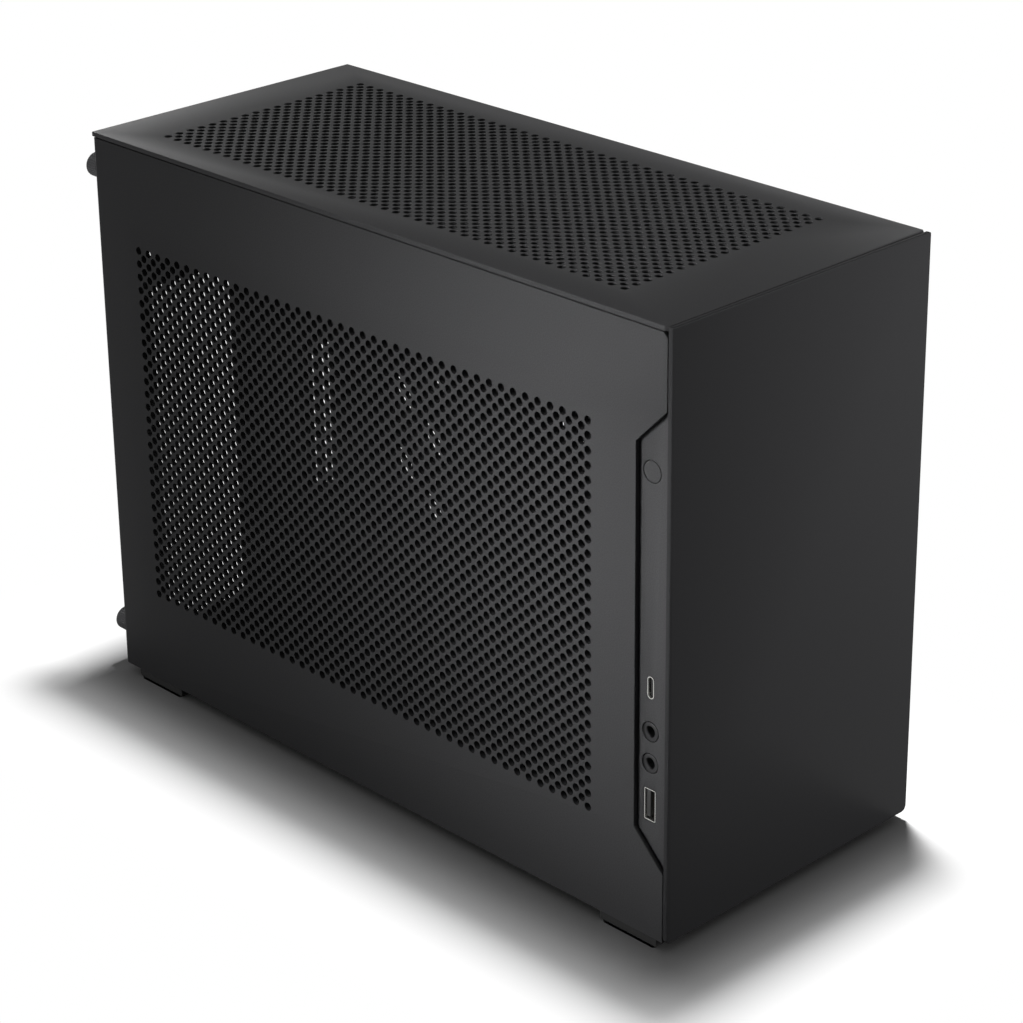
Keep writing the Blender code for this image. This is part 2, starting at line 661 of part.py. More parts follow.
def thumbscrew(name, side, height, cover):
    """A captive thumbscrew behind a side cover's lip. Its origin is on its own axis."""
    pivot = group(name + "_axis", (side * SCREW_X, deep(BODY_DEPTH), high(height)))
    pivot.parent = cover
    seat = FIT
    tip = seat - SCREW_SHANK_LENGTH
    edge = SCREW_HEAD_EDGE
    mesh = bmesh.new()
    turned(mesh, [(SCREW_HEAD_RADIUS - edge, seat + SCREW_HEAD_LENGTH),
                  (SCREW_HEAD_RADIUS, seat + SCREW_HEAD_LENGTH - edge),
                  (SCREW_HEAD_RADIUS, seat),
                  (SCREW_SHANK_RADIUS, seat),
                  (SCREW_SHANK_RADIUS, tip)], (0.0, 0.0), "Y", 12)
    node(name, mesh, "black_screw", pivot, smooth=True)


def thumbscrew_bushes():
    """The bushes pressed into the rear panel that the thumbscrews go into."""
    mesh = bmesh.new()
    outer = NUT_BORE + NUT_WALL
    back = deep(REAR_INNER + CHASSIS_SHEET / 2)
    front = deep(REAR_INNER - NUT_LENGTH)
    for side in (-1, 1):
        for height in (SCREW_EDGE, BODY_HEIGHT - SCREW_EDGE):
            turned(mesh, [(outer, back), (outer, front)], (side * SCREW_X, high(height)), "Y", 8)
    return mesh


# Chassis

def hook_slots(mesh, side, row):
    """Adds the slots that a side cover's hooks ride in, long enough for the cover's travel."""
    low, high_end = sorted((side * (FRAME_INNER_X - CHASSIS_SHEET), side * (FRAME_X + CHASSIS_SHEET)))
    for spot in HOOK_SPOTS:
        prism(mesh, rectangle(deep(spot) - HOOK_PLAY, high(row - HOOK_HEIGHT / 2) - HOOK_PLAY,
                              deep(spot + HOOK_LEG + COVER_TRAVEL) + HOOK_PLAY,
                              high(row + HOOK_HEIGHT / 2) + HOOK_PLAY),
              "X", low, high_end)


def foot_places():
    """Side, near end and centre of each foot."""
    for side, side_name in SIDES:
        for start, end_name in ((FRONT_FOOT, "front"), (BODY_DEPTH - REAR_FOOT - FOOT_LENGTH, "rear")):
            yield side, start, "foot_" + end_name + "_" + side_name


def base_panel():
    """The folded floor of the chassis, with its air slots."""
    path = [(-FRAME_X, high(BASE_LIFT + BASE_FLANGE)), (-FRAME_X, high(BASE_LIFT)),
            (FRAME_X, high(BASE_LIFT)), (FRAME_X, high(BASE_LIFT + BASE_FLANGE))]
    mesh = bmesh.new()
    prism(mesh, folded(path, CHASSIS_SHEET), "Y", deep(FRAME_FRONT), deep(FRAME_BACK))
    panel = node("base_panel", mesh, "chassis_black")

    cuts = bmesh.new()
    for side in (-1, 1):
        low, high_end = sorted((side * (FRAME_INNER_X - 2 * CHASSIS_SHEET), side * HALF_WIDTH))
        for first, last in ((0.0, RAIL_FRONT), (RAIL_BACK, BODY_DEPTH)):
            prism(cuts, rectangle(deep(first), high(BASE_TOP), deep(last), high(BASE_LIFT + BASE_FLANGE * 2)),
                  "X", low, high_end)
        hook_slots(cuts, side, HOOK_ROWS[0])
    below = high(BASE_LIFT - CHASSIS_SHEET)
    above = high(BASE_TOP + CHASSIS_SHEET)
    card_vent_right = FRAME_INNER_X - CARD_VENT_SIDE
    card_vent_count = 1 + int((BODY_DEPTH - CARD_VENT_REAR - VENT_WIDTH - CARD_VENT_FRONT) / VENT_PITCH)
    for left, right, start, count in (
            (card_vent_right - CARD_VENT_LENGTH, card_vent_right, CARD_VENT_FRONT, card_vent_count),
            (SUPPLY_VENT_SIDE - FRAME_INNER_X, TRAY_OFFSET - SUPPLY_VENT_TRAY, SUPPLY_VENT_FRONT,
             SUPPLY_VENT_COUNT)):
        for k in range(count):
            row = deep(start + VENT_PITCH * k)
            prism(cuts, rectangle(left, row, right, row + VENT_WIDTH), "Z", below, above)
    for side, start, _ in foot_places():
        prism(cuts, polygon((side * FOOT_SCREW_X, deep(start + FOOT_LENGTH / 2)), SMALL_HOLE_RADIUS, 8),
              "Z", below, above)
    for spot in TRAY_SCREW_SPOTS:
        prism(cuts, polygon((TRAY_SCREW_X, deep(spot)), SMALL_HOLE_RADIUS, 8), "Z", below, above)
    modify(panel, cuts, "DIFFERENCE")


def front_frame():
    """The folded front of the chassis. Its left flange shows in the notch and holds the sockets."""
    path = [(-FRAME_X, deep(FRAME_FRONT + FRAME_FLANGE)), (-FRAME_X, deep(FRAME_FRONT)),
            (FRAME_X, deep(FRAME_FRONT)), (FRAME_X, deep(FRAME_FRONT + FRAME_FLANGE))]
    mesh = bmesh.new()
    prism(mesh, folded(path, CHASSIS_SHEET), "Z", high(BASE_TOP + FIT), high(FRAME_TOP))
    frame = node("front_frame", mesh, "chassis_black")

    cuts = bmesh.new()
    low = -FRAME_X - CHASSIS_SHEET
    high_end = -FRAME_INNER_X + CHASSIS_SHEET
    line = deep(PORT_LINE)
    prism(cuts, polygon((line, high(BUTTON_HEIGHT)), BUTTON_RADIUS + FIT, 16), "X", low, high_end)
    for height in JACK_HEIGHTS:
        prism(cuts, polygon((line, high(height)), JACK_RADIUS + FIT, 12), "X", low, high_end)
    prism(cuts, racetrack((line, high(TYPE_C_HEIGHT)), TYPE_C_THIN + 2 * FIT, TYPE_C_TALL + 2 * FIT),
          "X", low, high_end)
    half_thin = TYPE_A_THIN / 2 + FIT
    half_tall = TYPE_A_TALL / 2 + FIT
    prism(cuts, rectangle(line - half_thin, high(TYPE_A_HEIGHT) - half_tall,
                          line + half_thin, high(TYPE_A_HEIGHT) + half_tall), "X", low, high_end)
    for side in (-1, 1):
        for height in (FRONT_STUD_END, FRAME_TOP - FRONT_STUD_END):
            prism(cuts, polygon((side * STUD_X, high(height)), STUD_HOLE_RADIUS, 8), "Y",
                  deep(0.0), deep(FRAME_FRONT + 2 * CHASSIS_SHEET))
    modify(frame, cuts, "DIFFERENCE")


def io_cutout():
    """Corners of the rear opening for the motherboard's own sockets, in x and z."""
    right = TRAY_OFFSET - IO_CUTOUT_BACKSET - 2 * MM
    middle = high(MOTHERBOARD_LOW + MOTHERBOARD_SIDE / 2)
    return (right - IO_CUTOUT_WIDTH, middle - IO_CUTOUT_HEIGHT / 2, right, middle + IO_CUTOUT_HEIGHT / 2)


def rear_panel():
    """The folded back of the chassis, with the cut-outs for the boards, the inlet and the air."""
    path = [(FRAME_X, deep(FRAME_BACK - REAR_FLANGE)), (FRAME_X, deep(FRAME_BACK)),
            (-FRAME_X, deep(FRAME_BACK)), (-FRAME_X, deep(FRAME_BACK - REAR_FLANGE))]
    mesh = bmesh.new()
    prism(mesh, folded(path, CHASSIS_SHEET), "Z", high(BASE_TOP + FIT), high(FRAME_TOP))
    panel = node("rear_panel", mesh, "chassis_black")
    modify(panel, thumbscrew_bushes(), "UNION")

    cuts = bmesh.new()
    low = deep(REAR_INNER - CHASSIS_SHEET)
    high_end = deep(FRAME_BACK + CHASSIS_SHEET)
    prism(cuts, rectangle(*io_cutout()), "Y", low, high_end)
    window_left = TRAY_RIGHT + CHASSIS_SHEET
    window_right = FRAME_INNER_X - 1.5 * CHASSIS_SHEET
    prism(cuts, rectangle(window_left, high(SLOT_FRAME_LOW + CHASSIS_SHEET),
                          window_right, high(SLOT_LEDGE - CHASSIS_SHEET)), "Y", low, high_end)
    prism(cuts, chamfered(INLET_X - INLET_WIDTH / 2 - FIT, high(INLET_HEIGHT) - INLET_TALL / 2 - FIT,
                          INLET_X + INLET_WIDTH / 2 + FIT, high(INLET_HEIGHT) + INLET_TALL / 2 + FIT,
                          INLET_BODY_CORNER), "Y", low, high_end)
    for side in (-1, 1):
        prism(cuts, polygon((INLET_X + side * INLET_SCREW_SPACING / 2, high(INLET_HEIGHT)),
                            SMALL_HOLE_RADIUS, 8), "Y", low, high_end)
        for height in (SCREW_EDGE, BODY_HEIGHT - SCREW_EDGE):
            prism(cuts, polygon((side * SCREW_X, high(height)), NUT_BORE, 8), "Y",
                  deep(REAR_INNER - 2 * NUT_LENGTH), high_end)
    first_vent = REAR_VENT_SIDE - FRAME_INNER_X
    vent_count = 1 + int((TRAY_OFFSET - REAR_VENT_TRAY - VENT_WIDTH - first_vent) / REAR_VENT_PITCH)
    for k in range(vent_count):
        left = first_vent + REAR_VENT_PITCH * k
        prism(cuts, rectangle(left, high(TRAY_TOP), left + VENT_WIDTH, high(FRAME_TOP - REAR_VENT_TOP)),
              "Y", low, high_end)
    modify(panel, cuts, "DIFFERENCE")


def top_rail(name, side):
    """A folded rail along the top, which the side cover hooks into and the top cover snaps onto."""
    path = [(-FRAME_X + RAIL_SHELF, high(FRAME_TOP)), (-FRAME_X, high(FRAME_TOP)),
            (-FRAME_X, high(FRAME_TOP - RAIL_DROP))]
    outline = folded(path, CHASSIS_SHEET)
    mesh = bmesh.new()
    prism(mesh, outline if side < 0 else mirrored(outline), "Y", deep(RAIL_FRONT), deep(RAIL_BACK))
    rail = node(name, mesh, "chassis_black")
    cuts = bmesh.new()
    hook_slots(cuts, side, HOOK_ROWS[1])
    below = high(FRAME_TOP - 2 * CHASSIS_SHEET)
    above = high(FRAME_TOP + CHASSIS_SHEET)
    for x, y in top_stud_places():
        if x * side > 0:
            prism(cuts, polygon((x, y), STUD_HOLE_RADIUS, 8), "Z", below, above)
    for spot in RADIATOR_SCREW_SPOTS:
        prism(cuts, polygon((side * STUD_X, deep(spot)), SMALL_HOLE_RADIUS, 8), "Z", below, above)
    modify(rail, cuts, "DIFFERENCE")


def radiator_bracket():
    """The folded plate under the top cover, with its fan openings and the slots for the fans' screws."""
    front = deep(FAN_MIDDLE - RADIATOR_HALF_LENGTH)
    back = deep(FAN_MIDDLE + RADIATOR_HALF_LENGTH)
    half_width = FRAME_INNER_X - 2 * FIT
    path = [(back, high(RADIATOR_TOP - RADIATOR_FLANGE)), (back, high(RADIATOR_TOP)),
            (front, high(RADIATOR_TOP)), (front, high(RADIATOR_TOP - RADIATOR_FLANGE))]
    mesh = bmesh.new()
    prism(mesh, folded(path, CHASSIS_SHEET), "X", -half_width, half_width)
    bracket = node("radiator_bracket", mesh, "chassis_black")
    cuts = bmesh.new()
    below = high(RADIATOR_TOP - 2 * CHASSIS_SHEET)
    above = high(RADIATOR_TOP + CHASSIS_SHEET)
    half_slot = FAN_SLOT_WIDTH / 2
    half_run = FAN_SLOT_LENGTH / 2
    screw_reach = FAN_SIZE / 2 - FAN_SCREW_INSET
    for k in range(FAN_COUNT):
        fan = deep(FAN_MIDDLE) + (k + 0.5 - FAN_COUNT / 2) * FAN_SIZE
        prism(cuts, polygon((0.0, fan), FAN_SIZE / 2 - FAN_RIM, 16), "Z", below, above)
        for side in (-1, 1):
            for end in (-1, 1):
                x = side * screw_reach
                y = fan + end * screw_reach
                prism(cuts, rectangle(x - half_slot, y - half_run, x + half_slot, y + half_run),
                      "Z", below, above)
    for side in (-1, 1):
        for spot in RADIATOR_SCREW_SPOTS:
            prism(cuts, polygon((side * STUD_X, deep(spot)), SMALL_HOLE_RADIUS, 8), "Z", below, above)
    modify(bracket, cuts, "DIFFERENCE")

    for side, side_name in SIDES:
        for spot, end_name in zip(RADIATOR_SCREW_SPOTS, ("front", "rear")):
            pan_head_screw("radiator_screw_" + end_name + "_" + side_name, (side * STUD_X, deep(spot)), "Z",
                           high(RADIATOR_TOP - CHASSIS_SHEET), 1, 2 * CHASSIS_SHEET + 1.5 * FIT)


# Middle tray and what it carries

def standoffs_on_tray():
    """The four hexagonal standoffs pressed into the tray, each with a blind screw hole."""
    standoffs = bmesh.new()
    foot = TRAY_OFFSET + CHASSIS_SHEET / 2
    top = TRAY_OFFSET - STANDOFF_HEIGHT
    rear_edge = REAR_INNER - MOTHERBOARD_TO_REAR
    for distance in STANDOFF_DEPTHS:
        for height in STANDOFF_HEIGHTS:
            turned(standoffs, [(STANDOFF_RADIUS, foot), (STANDOFF_RADIUS, top), (STANDOFF_BORE, top),
                               (STANDOFF_BORE, top + STANDOFF_HEIGHT * 0.7)],
                   (deep(rear_edge - distance), high(MOTHERBOARD_LOW + height)), "X", 6)
    return standoffs


def motherboard_tray():
    """The folded wall between the two chambers, with its windows."""
    path = [(TRAY_OFFSET + TRAY_TOP_FLANGE, high(TRAY_TOP)), (TRAY_OFFSET, high(TRAY_TOP)),
            (TRAY_OFFSET, high(BASE_TOP + FIT)), (TRAY_OFFSET + TRAY_BASE_FLANGE, high(BASE_TOP + FIT))]
    mesh = bmesh.new()
    prism(mesh, folded(path, CHASSIS_SHEET), "Y",
          deep(FRAME_FRONT + CHASSIS_SHEET + FIT), deep(REAR_INNER - FIT))
    tray = node("motherboard_tray", mesh, "chassis_black")
    modify(tray, standoffs_on_tray(), "UNION")
    cuts = bmesh.new()
    low = TRAY_OFFSET - CHASSIS_SHEET
    high_end = TRAY_RIGHT + CHASSIS_SHEET
    rear_window = (REAR_INNER - BACKPLATE_WINDOW_REAR - BACKPLATE_WINDOW_LENGTH, BACKPLATE_WINDOW_LOW,
                   REAR_INNER - BACKPLATE_WINDOW_REAR, BACKPLATE_WINDOW_HIGH)
    for window, corner in ((rear_window, BACKPLATE_WINDOW_CORNER), (CABLE_WINDOW, CABLE_WINDOW_CORNER)):
        front, bottom, back, top = window
        prism(cuts, chamfered(deep(front), high(bottom), deep(back), high(top), corner), "X", low, high_end)
    prism(cuts, rectangle(deep(RISER_START), high(RISER_WINDOW_LOW), deep(RISER_START + RISER_LENGTH),
                          high(RISER_WINDOW_HIGH)), "X", low, high_end)
    for spot in TRAY_SCREW_SPOTS:
        prism(cuts, polygon((TRAY_SCREW_X, deep(spot)), SMALL_HOLE_RADIUS, 8), "Z",
              high(BASE_TOP), high(BASE_TOP + 3 * CHASSIS_SHEET))
    for height in SUPPLY_SCREW_HEIGHTS:
        prism(cuts, polygon((deep(SUPPLY_SCREW_DEPTH), high(height)), SMALL_HOLE_RADIUS, 8),
              "X", low, high_end)
    modify(tray, cuts, "DIFFERENCE")

    for spot, end_name in zip(TRAY_SCREW_SPOTS, ("front", "rear")):
        pan_head_screw("tray_screw_" + end_name, (TRAY_SCREW_X, deep(spot)), "Z", high(BASE_LIFT), 1,
                       TRAY_SCREW_LENGTH)


def power_supply_bracket():
    """The folded plate that a small power supply is screwed to, with a window for its inlet."""
    left = -(FRAME_INNER_X - 3 * FIT)
    right = TRAY_OFFSET - FIT
    path = [(left, deep(SUPPLY_FACE)), (right, deep(SUPPLY_FACE)),
            (right, deep(SUPPLY_FACE + SUPPLY_FLANGE))]
    top = SUPPLY_LOW + SUPPLY_HEIGHT + SUPPLY_LOW
    mesh = bmesh.new()
    prism(mesh, folded(path, CHASSIS_SHEET), "Z", high(BASE_TOP + FIT), high(top))
    bracket = node("power_supply_bracket", mesh, "chassis_black")
    middle_x = (left + right) / 2
    middle_z = high(SUPPLY_LOW + SUPPLY_HEIGHT / 2)
    cuts = bmesh.new()
    low = deep(SUPPLY_FACE - CHASSIS_SHEET)
    high_end = deep(SUPPLY_FACE + 2 * CHASSIS_SHEET)
    half_window = SUPPLY_SCREWS_ACROSS / 2 - SUPPLY_WINDOW_SIDE
    half_tall = SUPPLY_SCREWS_UP / 2 - SUPPLY_WINDOW_END
    prism(cuts, chamfered(middle_x - half_window, middle_z - half_tall, middle_x + half_window,
                          middle_z + half_tall, SUPPLY_WINDOW_CORNER), "Y", low, high_end)
    for side in (-1, 1):
        for end in (-1, 1):
            prism(cuts, polygon((middle_x + side * SUPPLY_SCREWS_ACROSS / 2,
                                 middle_z + end * SUPPLY_SCREWS_UP / 2), SMALL_HOLE_RADIUS, 8),
                  "Y", low, high_end)
    line = deep(SUPPLY_SCREW_DEPTH)
    for height in SUPPLY_SCREW_HEIGHTS:
        prism(cuts, polygon((line, high(height)), SMALL_HOLE_RADIUS, 8), "X",
              right - 2 * CHASSIS_SHEET, right + CHASSIS_SHEET)
    modify(bracket, cuts, "DIFFERENCE")

    for height, level in zip(SUPPLY_SCREW_HEIGHTS, ("lower", "upper")):
        pan_head_screw("power_bracket_screw_" + level, (line, high(height)), "X", right - CHASSIS_SHEET, 1,
                       SUPPLY_SCREW_LENGTH)


# Expansion slots

def slot_x(index):
    """Middle of a slot."""
    return FIRST_SLOT + index * SLOT_PITCH


def slot_frame():
    """The folded channel, set in from the back, that the cards' brackets are fixed to."""
    flange = REAR_INNER - FIT - CHASSIS_SHEET
    path = [(deep(flange), high(SLOT_LEDGE + SLOT_UPPER_LIP)), (deep(flange), high(SLOT_LEDGE)),
            (deep(SLOT_PLATE), high(SLOT_LEDGE)), (deep(SLOT_PLATE), high(SLOT_FRAME_LOW)),
            (deep(flange), high(SLOT_FRAME_LOW)), (deep(flange), high(SLOT_FRAME_LOW - SLOT_LOWER_LIP))]
    mesh = bmesh.new()
    prism(mesh, folded(path, CHASSIS_SHEET), "X", TRAY_RIGHT + FIT, FRAME_INNER_X - FIT * 3)
    frame = node("slot_frame", mesh, "chassis_black")
    cuts = bmesh.new()
    for k in range(SLOT_COUNT):
        x = slot_x(k)
        prism(cuts, rectangle(x - SLOT_WIDTH / 2, high(SLOT_LOW), x + SLOT_WIDTH / 2,
                              high(SLOT_LOW + SLOT_HEIGHT)), "Y",
              deep(SLOT_PLATE - CHASSIS_SHEET), deep(SLOT_PLATE + 2 * CHASSIS_SHEET))
        prism(cuts, polygon((x, deep(LEDGE_SCREW)), SMALL_HOLE_RADIUS, 8), "Z",
              high(SLOT_LEDGE - 2 * CHASSIS_SHEET), high(SLOT_LEDGE + CHASSIS_SHEET))
    modify(frame, cuts, "DIFFERENCE")


def slot_covers():
    """The vented blanks in the slots, each with a tongue below and a screwed tab above."""
    front = SLOT_PLATE - FIT - SLOT_COVER_SHEET
    top = SLOT_LEDGE + FIT + SLOT_COVER_SHEET
    bottom = SLOT_COVER_LOW
    taper = (SLOT_COVER_WIDTH - SLOT_COVER_TONGUE) / 2
    for k in range(SLOT_COUNT):
        x = slot_x(k)
        path = [(deep(REAR_INNER - 2 * CHASSIS_SHEET), high(top)), (deep(front), high(top)),
                (deep(front), high(bottom))]
        mesh = bmesh.new()
        prism(mesh, folded(path, SLOT_COVER_SHEET), "X", x - SLOT_COVER_WIDTH / 2, x + SLOT_COVER_WIDTH / 2)
        cover = node("slot_cover_%d" % (k + 1), mesh, "chassis_black")
        cuts = bmesh.new()
        low = deep(front - SLOT_COVER_SHEET)
        high_end = deep(SLOT_PLATE)
        for side in (-1, 1):
            edge = x + side * SLOT_COVER_WIDTH / 2
            corner = [(edge - side * taper, high(bottom) - taper),
                      (edge + side * taper, high(bottom) - taper),
                      (edge + side * taper, high(bottom) + 3 * taper)]
            prism(cuts, corner, "Y", low, high_end)
        for lane in (-1, 0, 1):
            left = x + lane * SLOT_COVER_VENT_PITCH - SLOT_COVER_VENT_WIDTH / 2
            prism(cuts, rectangle(left, high(SLOT_COVER_VENT_LOW), left + SLOT_COVER_VENT_WIDTH,
                                  high(SLOT_COVER_VENT_HIGH)), "Y", low, high_end)
        prism(cuts, polygon((x, deep(LEDGE_SCREW)), SMALL_HOLE_RADIUS, 8), "Z",
              high(SLOT_LEDGE), high(top + CHASSIS_SHEET))
        modify(cover, cuts, "DIFFERENCE")
        pan_head_screw("slot_screw_%d" % (k + 1), (x, deep(LEDGE_SCREW)), "Z", high(top), -1,
                       LEDGE_SCREW_LENGTH)


# Mains inlet

def ac_inlet():
    """The mains inlet in the back, with its three moulded-in pins, and its two screws."""
    outer = FRAME_BACK + FIT
    face = outer + INLET_FLANGE_THICKNESS
    half = INLET_SCREW_SPACING / 2 + INLET_EAR
    tall = INLET_TALL / 2 + INLET_BRIM
    height = high(INLET_HEIGHT)
    corner = INLET_CORNER
    mesh = bmesh.new()
    prism(mesh, chamfered(INLET_X - half, height - tall, INLET_X + half, height + tall, corner),
          "Y", deep(outer), deep(face))
    inlet = node("ac_inlet", mesh, "black_plastic")
    body = bmesh.new()
    prism(body, chamfered(INLET_X - INLET_WIDTH / 2, height - INLET_TALL / 2, INLET_X + INLET_WIDTH / 2,
                          height + INLET_TALL / 2, INLET_BODY_CORNER), "Y", deep(face - INLET_DEPTH),
          deep(outer + INLET_FLANGE_THICKNESS / 2))
    modify(inlet, body, "UNION")
    cuts = bmesh.new()
    left = INLET_X - INLET_WIDTH / 2 + INLET_WALL
    right = INLET_X + INLET_WIDTH / 2 - INLET_WALL
    bottom = height - INLET_TALL / 2 + INLET_WALL
    top = height + INLET_TALL / 2 - INLET_WALL
    floor = face - INLET_DEPTH + INLET_FLOOR
    prism(cuts, [(left, bottom), (right, bottom), (right, top - corner), (right - corner, top),
                 (left + corner, top), (left, top - corner)], "Y", deep(floor), deep(face + INLET_WALL))
    for side in (-1, 1):
        prism(cuts, polygon((INLET_X + side * INLET_SCREW_SPACING / 2, height), SMALL_HOLE_RADIUS, 8),
              "Y", deep(outer - CHASSIS_SHEET), deep(face + CHASSIS_SHEET))
    modify(inlet, cuts, "DIFFERENCE")

    pins = bmesh.new()
    for across, up in INLET_PINS:
        left = INLET_X + across - INLET_PIN_WIDTH / 2
        bottom = height + up - INLET_PIN_HEIGHT / 2
        prism(pins, rectangle(left, bottom, left + INLET_PIN_WIDTH, bottom + INLET_PIN_HEIGHT), "Y",
              deep(floor - INLET_WALL), deep(face - INLET_PIN_SETBACK))
    modify(inlet, pins, "UNION")

    for side, side_name in SIDES:
        pan_head_screw("inlet_screw_" + side_name, (INLET_X + side * INLET_SCREW_SPACING / 2, height), "Y",
                       deep(face), -1, INLET_SCREW_LENGTH)


# Power button and sockets

def power_button():
    """The button, its housing, its spring and the switch behind it, on one axis along X."""
    line = deep(PORT_LINE)
    height = high(BUTTON_HEIGHT)
    centre = (line, height)
    collar_back = BEHIND_FLANGE + BUTTON_COLLAR
    web_front = BEHIND_FLANGE + HOUSING_WELL
    web_back = web_front + HOUSING_WEB
    housing_back = web_back + HOUSING_POCKET
    stem_end = web_front + FIT
    axis = group("power_button_axis", (-FRAME_X, line, height))
    mesh = bmesh.new()
    turned(mesh, [(BUTTON_RADIUS - BUTTON_EDGE, 0.0), (BUTTON_RADIUS, BUTTON_EDGE),
                  (BUTTON_RADIUS, FRAME_X + BEHIND_FLANGE), (BUTTON_COLLAR_RADIUS, FRAME_X + BEHIND_FLANGE),
                  (BUTTON_COLLAR_RADIUS, FRAME_X + collar_back), (BUTTON_STEM_RADIUS, FRAME_X + collar_back),
                  (BUTTON_STEM_RADIUS, FRAME_X + stem_end)], (0.0, 0.0), "X", 16)
    node("power_button", mesh, "anodised", axis, smooth=True)

    half = HOUSING_SIDE / 2
    mesh = bmesh.new()
    prism(mesh, chamfered(line - half, height - half, line + half, height + half, HOUSING_CORNER),
          "X", BEHIND_FLANGE, housing_back)
    housing = node("button_housing", mesh, "black_plastic")
    well = bmesh.new()
    prism(well, polygon(centre, BUTTON_COLLAR_RADIUS + FIT, 16), "X", BEHIND_FLANGE - FIT, web_front)
    modify(housing, well, "DIFFERENCE")
    half = HOUSING_POCKET_SIDE / 2
    pocket = bmesh.new()
    prism(pocket, rectangle(line - half, height - half, line + half, height + half), "X",
          web_back, housing_back + FIT)
    modify(housing, pocket, "DIFFERENCE")
    bore = bmesh.new()
    prism(bore, polygon(centre, BUTTON_STEM_RADIUS + FIT, 8), "X", web_front - FIT, web_back + FIT)
    modify(housing, bore, "DIFFERENCE")

    node("button_spring", helix(centre, collar_back + FIT, web_front - FIT), "bright_steel", smooth=True)

    plunger = stem_end + BUTTON_TRAVEL + FIT
    switch_front = plunger + SWITCH_NUB
    half = SWITCH_SIDE / 2
    mesh = bmesh.new()
    prism(mesh, rectangle(line - half, height - half, line + half, height + half), "X",
          switch_front, housing_back)
    switch = node("power_switch", mesh, "black_plastic")
    nub = bmesh.new()
    prism(nub, polygon(centre, SWITCH_NUB_RADIUS, 8), "X", plunger, (switch_front + housing_back) / 2)
    modify(switch, nub, "UNION")

    board_front = housing_back + FIT
    mesh = bmesh.new()
    prism(mesh, rectangle(line - SWITCH_BOARD_WIDTH / 2, height - SWITCH_BOARD_HEIGHT / 2,
                          line + SWITCH_BOARD_WIDTH / 2, height + SWITCH_BOARD_HEIGHT / 2),
          "X", board_front, board_front + BOARD_THICKNESS)
    node("switch_board", mesh, "circuit_board")


def helix(centre, low, high_end, sides=4, steps=8):
    """A small compression spring along X."""
    wire = SPRING_WIRE_RADIUS
    along = Vector((1, 0, 0))
    mesh = bmesh.new()
    count = int(SPRING_TURNS * steps)
    climb = (high_end - low - 2 * wire) / count
    rings = []
    for k in range(count + 1):
        angle = math.tau * k / steps
        out = Vector((0.0, math.cos(angle), math.sin(angle)))
        middle = Vector((low + wire + climb * k, *centre)) + out * SPRING_RADIUS
        corners = [math.tau * j / sides for j in range(sides)]
        rings.append([mesh.verts.new(middle + wire * (out * math.cos(turn) + along * math.sin(turn)))
                      for turn in corners])
    skin(mesh, rings)
    return mesh


def io_board():
    """The socket board behind the notch, standing on a bracket, and its sockets."""
    line = deep(PORT_LINE)
    board_front = line + TYPE_A_THIN / 2 + FIT
    board_back = board_front + BOARD_THICKNESS
    board_left = BEHIND_FLANGE + 4 * FIT
    board_right = board_left + IO_BOARD_WIDTH
    low_edge = TYPE_A_HEIGHT - IO_BOARD_MARGIN
    high_edge = TYPE_C_HEIGHT + IO_BOARD_MARGIN
    mesh = bmesh.new()
    prism(mesh, rectangle(board_left, board_front, board_right, board_back), "Z",
          high(low_edge), high(high_edge))
    board = node("io_board", mesh, "circuit_board")

    face = board_back + FIT
    web = board_right + IO_BRACKET_GAP
    foot = deep(FRAME_FRONT + CHASSIS_SHEET + FIT) + CHASSIS_SHEET
    path = [(web + IO_BRACKET_FOOT, foot), (web, foot), (web, face + CHASSIS_SHEET),
            (web - IO_BRACKET_ARM, face + CHASSIS_SHEET)]
    mesh = bmesh.new()
    prism(mesh, folded(path, CHASSIS_SHEET), "Z", high(low_edge + IO_BRACKET_GAP),
          high(high_edge - IO_BRACKET_GAP))
    bracket = node("io_bracket", mesh, "chassis_black")
    cuts = bmesh.new()
    board_cuts = bmesh.new()
    for height, level in ((TYPE_A_HEIGHT - IO_SCREW_SHIFT, "lower"),
                          (TYPE_C_HEIGHT + IO_SCREW_SHIFT, "upper")):
        spot = (board_left + IO_SCREW_INSET, high(height))
        prism(cuts, polygon(spot, SMALL_HOLE_RADIUS, 8), "Y", face - FIT / 2, face + 2 * CHASSIS_SHEET)
        prism(board_cuts, polygon(spot, SMALL_HOLE_RADIUS, 8), "Y", board_front - FIT, board_back + FIT)
        pan_head_screw("io_board_screw_" + level, spot, "Y", face + CHASSIS_SHEET, -1,
                       CHASSIS_SHEET + BOARD_THICKNESS + FIT)
    modify(bracket, cuts, "DIFFERENCE")
    modify(board, board_cuts, "DIFFERENCE")

    type_a_socket(line)
    type_c_socket(line, board_front)
    for height, name in zip(JACK_HEIGHTS, ("audio_jack_upper", "audio_jack_lower")):
        audio_jack(name, line, high(height))


